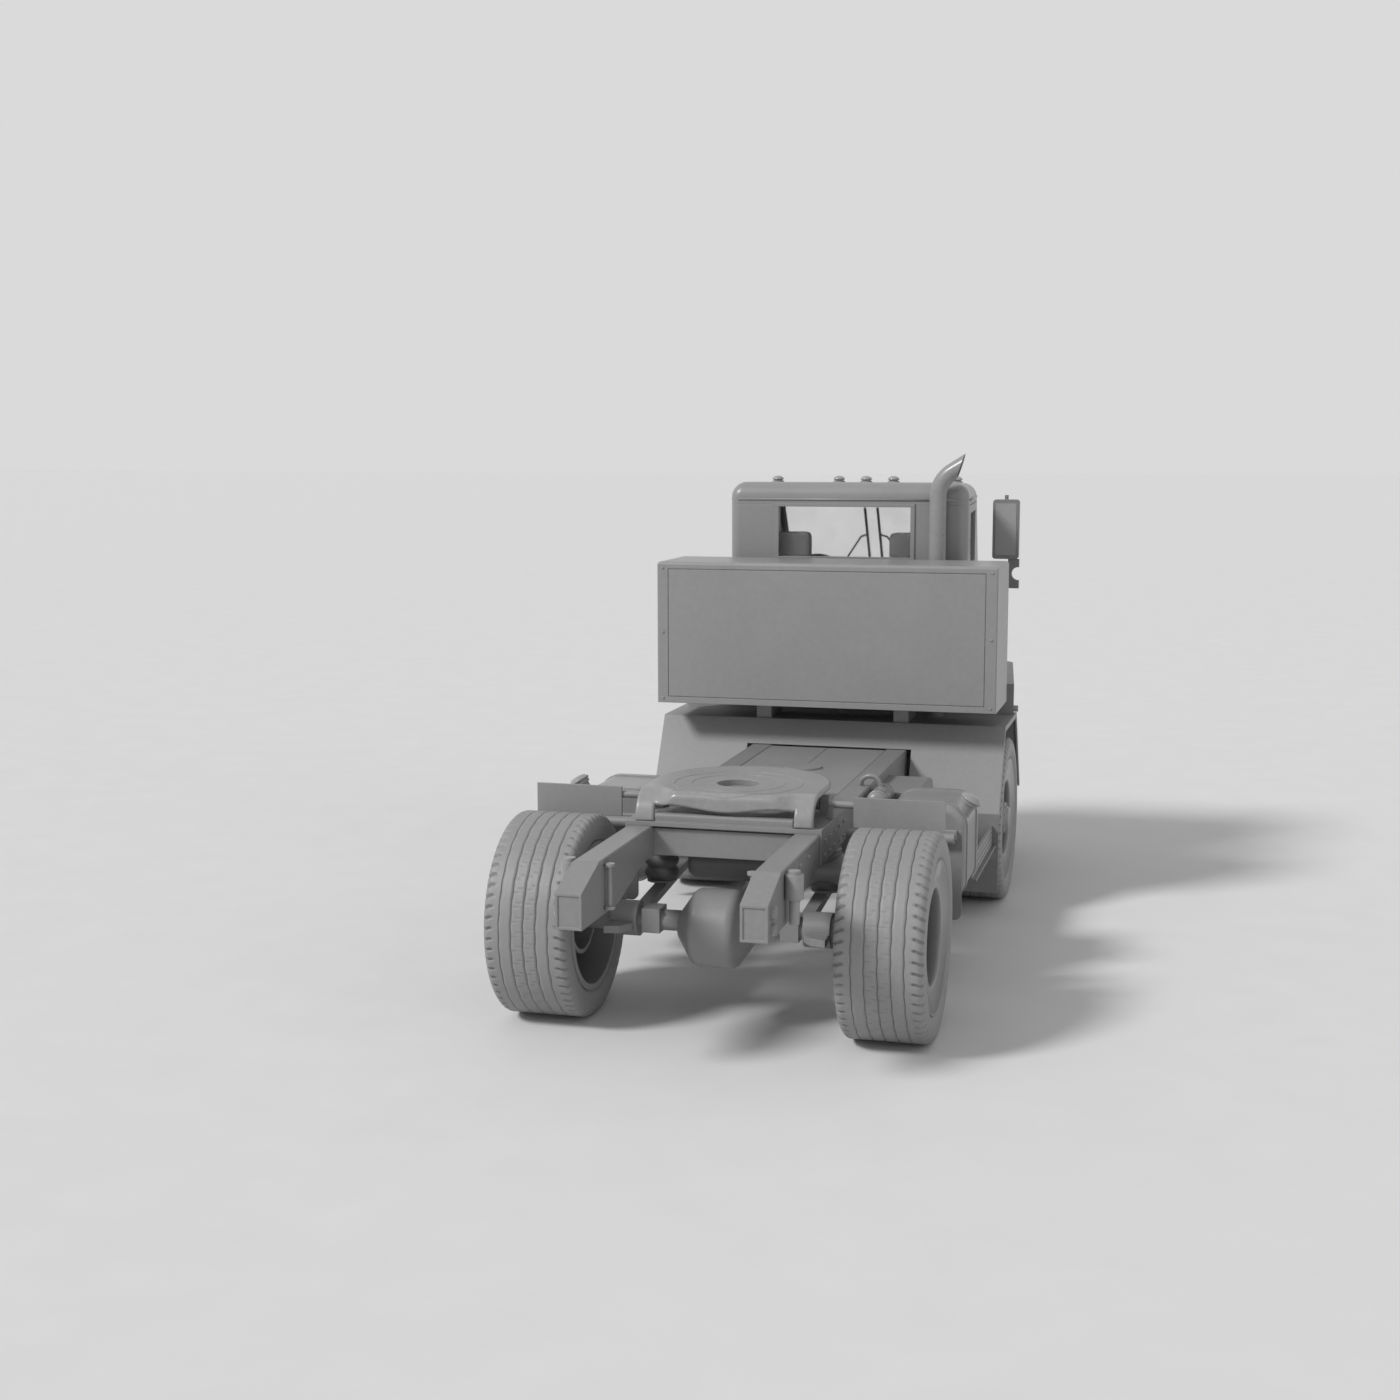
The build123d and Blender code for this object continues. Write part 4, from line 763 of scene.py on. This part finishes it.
# Lever with a knob, and three pedals on their arms
leverLook = {"places": ((-0.12, 4.05, 1.49), (-0.12, 4.07, 1.72), (-0.11, 4.10, 1.86)), "bar": 0.011,
             "knob": (-0.11, 4.095, 1.85), "knobRadius": 0.026, "knobHeight": 0.05, "knobSides": 12,
             "knobCap": 0.6}
pedalLook = {"x": (-0.52, -0.40, -0.28),
             "bars": ({"half": 0.035, "y": (4.50, 4.53), "z": (1.53, 1.65)},
                      {"half": 0.012, "y": (4.52, 4.55), "z": (1.49, 1.62)})}
cabControls = [tubeShape([fromAxle(*place) for place in leverLook["places"]], leverLook["bar"])]
cabControls.append(prism(fromAxle(*leverLook["knob"]), (0, 0, 1), leverLook["knobRadius"],
                         leverLook["knobHeight"], leverLook["knobSides"], leverLook["knobCap"]))
for x in pedalLook["x"]:
    for bar in pedalLook["bars"]:
        wide = (x - bar["half"], x + bar["half"])
        low, high = [fromAxle(*place) for place in zip(wide, bar["y"], bar["z"])]
        cabControls.append(boxShape(low, high))
addPiece("cabControls", *gather(cabControls), "trim_plastic", "chassis", smooth=False)
print("fittings made")

# Seats: padded seat, back and headrest, with pinched seams where given
seatLook = {"x": 0.40, "half": 0.235, "back": 3.5, "backTop": 2.27, "thick": 0.11,
            "seatTop": 1.985, "seatStart": 0.10, "seatEnd": 0.56, "puff": 0.06, "seams": (-0.5, 0.5),
            "headHalf": 0.12, "headLow": 2.255, "headHigh": 2.465, "headThick": 0.10, "headPuff": 0.05}
cushionLook = {"cuts": 18, "power": 7.0, "crown": 0.6, "sidePuff": 0.4, "seamDepth": 0.05, "seamWidth": 0.05}


# Box with round edges, puffed in its thin direction, seams run at shares of its half width
def cushionShape(low, high, puff, seams=()):
    low, high = Vector(low), Vector(high)
    centre, half = (low + high) / 2, (high - low) / 2
    thin = min(range(3), key=lambda k: half[k])
    power = cushionLook["power"]
    block = bmesh.new()
    bmesh.ops.create_cube(block, size=2.0)
    bmesh.ops.subdivide_edges(block, edges=block.edges, cuts=cushionLook["cuts"], use_grid_fill=True)
    verts = []
    for vert in block.verts:
        p = vert.co.copy()
        q = p / (abs(p.x) ** power + abs(p.y) ** power + abs(p.z) ** power) ** (1 / power)
        if abs(q.z) > cushionLook["crown"]:
            swell = 1 + puff * (1 - q.x * q.x) * (1 - q.y * q.y)
        else:
            swell = 1 + puff * cushionLook["sidePuff"] * (1 - q.z * q.z)
        for seam in seams:
            swell -= cushionLook["seamDepth"] * math.exp(-(abs(q.x - seam) / cushionLook["seamWidth"]) ** 2)
        q[thin] *= swell
        verts.append(centre + Vector((q.x * half.x, q.y * half.y, q.z * half.z)))
    block.verts.index_update()
    faces = [[v.index for v in f.verts] for f in block.faces]
    block.free()
    return verts, faces


pads = []
back, seatTop = seatLook["back"], seatLook["seatTop"]
seatLow = seatTop - seatLook["thick"]
for sign in (-1, 1):
    x, half = sign * seatLook["x"], seatLook["half"]
    low = fromAxle(x - half, back + seatLook["seatStart"], seatLow)
    high = fromAxle(x + half, back + seatLook["seatEnd"], seatTop)
    pads.append(cushionShape(low, high, seatLook["puff"], seatLook["seams"]))
    low = fromAxle(x - half, back, seatLow)
    high = fromAxle(x + half, back + seatLook["thick"], seatLook["backTop"])
    pads.append(cushionShape(low, high, seatLook["puff"], seatLook["seams"]))
    low = fromAxle(x - seatLook["headHalf"], back, seatLook["headLow"])
    high = fromAxle(x + seatLook["headHalf"], back + seatLook["headThick"], seatLook["headHigh"])
    pads.append(cushionShape(low, high, seatLook["headPuff"]))
seats = addPiece("seatCushions", *gather(pads), "seat_fabric", "chassis")
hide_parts("seat_pads")
print("seats made")

# Camera as in the photograph: angles in radians, lens and sensor in millimetres
cameraLook = {"place": (2.50987, -9.65521, 3.12555), "yaw": 0.26614, "pitch": 0.13652, "roll": -0.00192,
              "lens": 49.2537, "sensor": 36.0}
yaw, pitch, roll = cameraLook["yaw"], cameraLook["pitch"], cameraLook["roll"]
ahead = Vector((-math.sin(yaw) * math.cos(pitch), math.cos(yaw) * math.cos(pitch), -math.sin(pitch)))
right = Vector((math.cos(yaw), math.sin(yaw), 0.0))
upward = right.cross(ahead)
turnedRight = right * math.cos(roll) + upward * math.sin(roll)
turnedUp = upward * math.cos(roll) - right * math.sin(roll)
cameraData = bpy.data.cameras.new("camera")
cameraData.lens = cameraLook["lens"]
cameraData.sensor_width = cameraLook["sensor"]
camera = bpy.data.objects.new("camera", cameraData)
bpy.context.scene.collection.objects.link(camera)
turned = Matrix((turnedRight, turnedUp, -ahead)).transposed().to_4x4()
camera.matrix_world = Matrix.Translation(fromAxle(*cameraLook["place"])) @ turned
bpy.context.scene.camera = camera
print("camera placed")

# Pale floor
floorLook = {"half": 150, "tone": 0.72, "rough": 0.85, "grain": 3.0, "spread": 0.02}
reach = floorLook["half"]
floorMesh = bpy.data.meshes.new("floor")
floorCorners = [(-reach, -reach, 0), (reach, -reach, 0), (reach, reach, 0), (-reach, reach, 0)]
floorMesh.from_pydata(floorCorners, [], [(0, 1, 2, 3)])
floor = bpy.data.objects.new("floor", floorMesh)
bpy.context.scene.collection.objects.link(floor)
floorTone = surface("floorTone", floorLook["tone"], floorLook["rough"], grain=floorLook["grain"],
                    spread=floorLook["spread"], bump=0.0)
floorMesh.materials.append(floorTone)

# Wide soft lights, all aimed at the truck's middle
lightAim = Vector((0, 0.3, 1.0))
lights = (
    {"name": "keyLight", "kind": "SUN", "place": (-8.0, -7.5, 10.5), "power": 2.2, "soft": 0.22},
    {"name": "sideLight", "kind": "SUN", "place": (9.0, -3.0, 5.0), "power": 0.22, "soft": 0.6},
)
for light in lights:
    lamp = bpy.data.lights.new(light["name"], light["kind"])
    lamp.energy = light["power"]
    lamp.angle = light["soft"]
    holder = bpy.data.objects.new(light["name"], lamp)
    bpy.context.scene.collection.objects.link(holder)
    holder.location = light["place"]
    holder.rotation_euler = (lightAim - holder.location).to_track_quat("-Z", "Y").to_euler()

# The world lights softly and shows the floor's own pale tone behind the truck
worldLook = {"light": 0.45, "backdrop": 0.70}
world = bpy.data.worlds.new("studio")
bpy.context.scene.world = world
world.use_nodes = True
tree = world.node_tree
softLight = tree.nodes["Background"]
softLight.inputs["Color"].default_value = [worldLook["light"]] * 3 + [1]
backdrop = addNode(tree, "Background", {"Color": [worldLook["backdrop"]] * 3 + [1]})
lightPath = addNode(tree, "LightPath")
shows = lightPath.outputs["Is Camera Ray"]
for word in ("Is Glossy Ray", "Is Transmission Ray"):
    either = addNode(tree, "Math", operation="MAXIMUM")
    tree.links.new(shows, either.inputs[0])
    tree.links.new(lightPath.outputs[word], either.inputs[1])
    shows = either.outputs[0]
blend = addNode(tree, "MixShader")
tree.links.new(shows, blend.inputs["Fac"])
tree.links.new(softLight.outputs["Background"], blend.inputs[1])
tree.links.new(backdrop.outputs["Background"], blend.inputs[2])
tree.links.new(blend.outputs["Shader"], tree.nodes["World Output"].inputs["Surface"])
bpy.context.scene.view_settings.view_transform = "Standard"
print("stage lit")
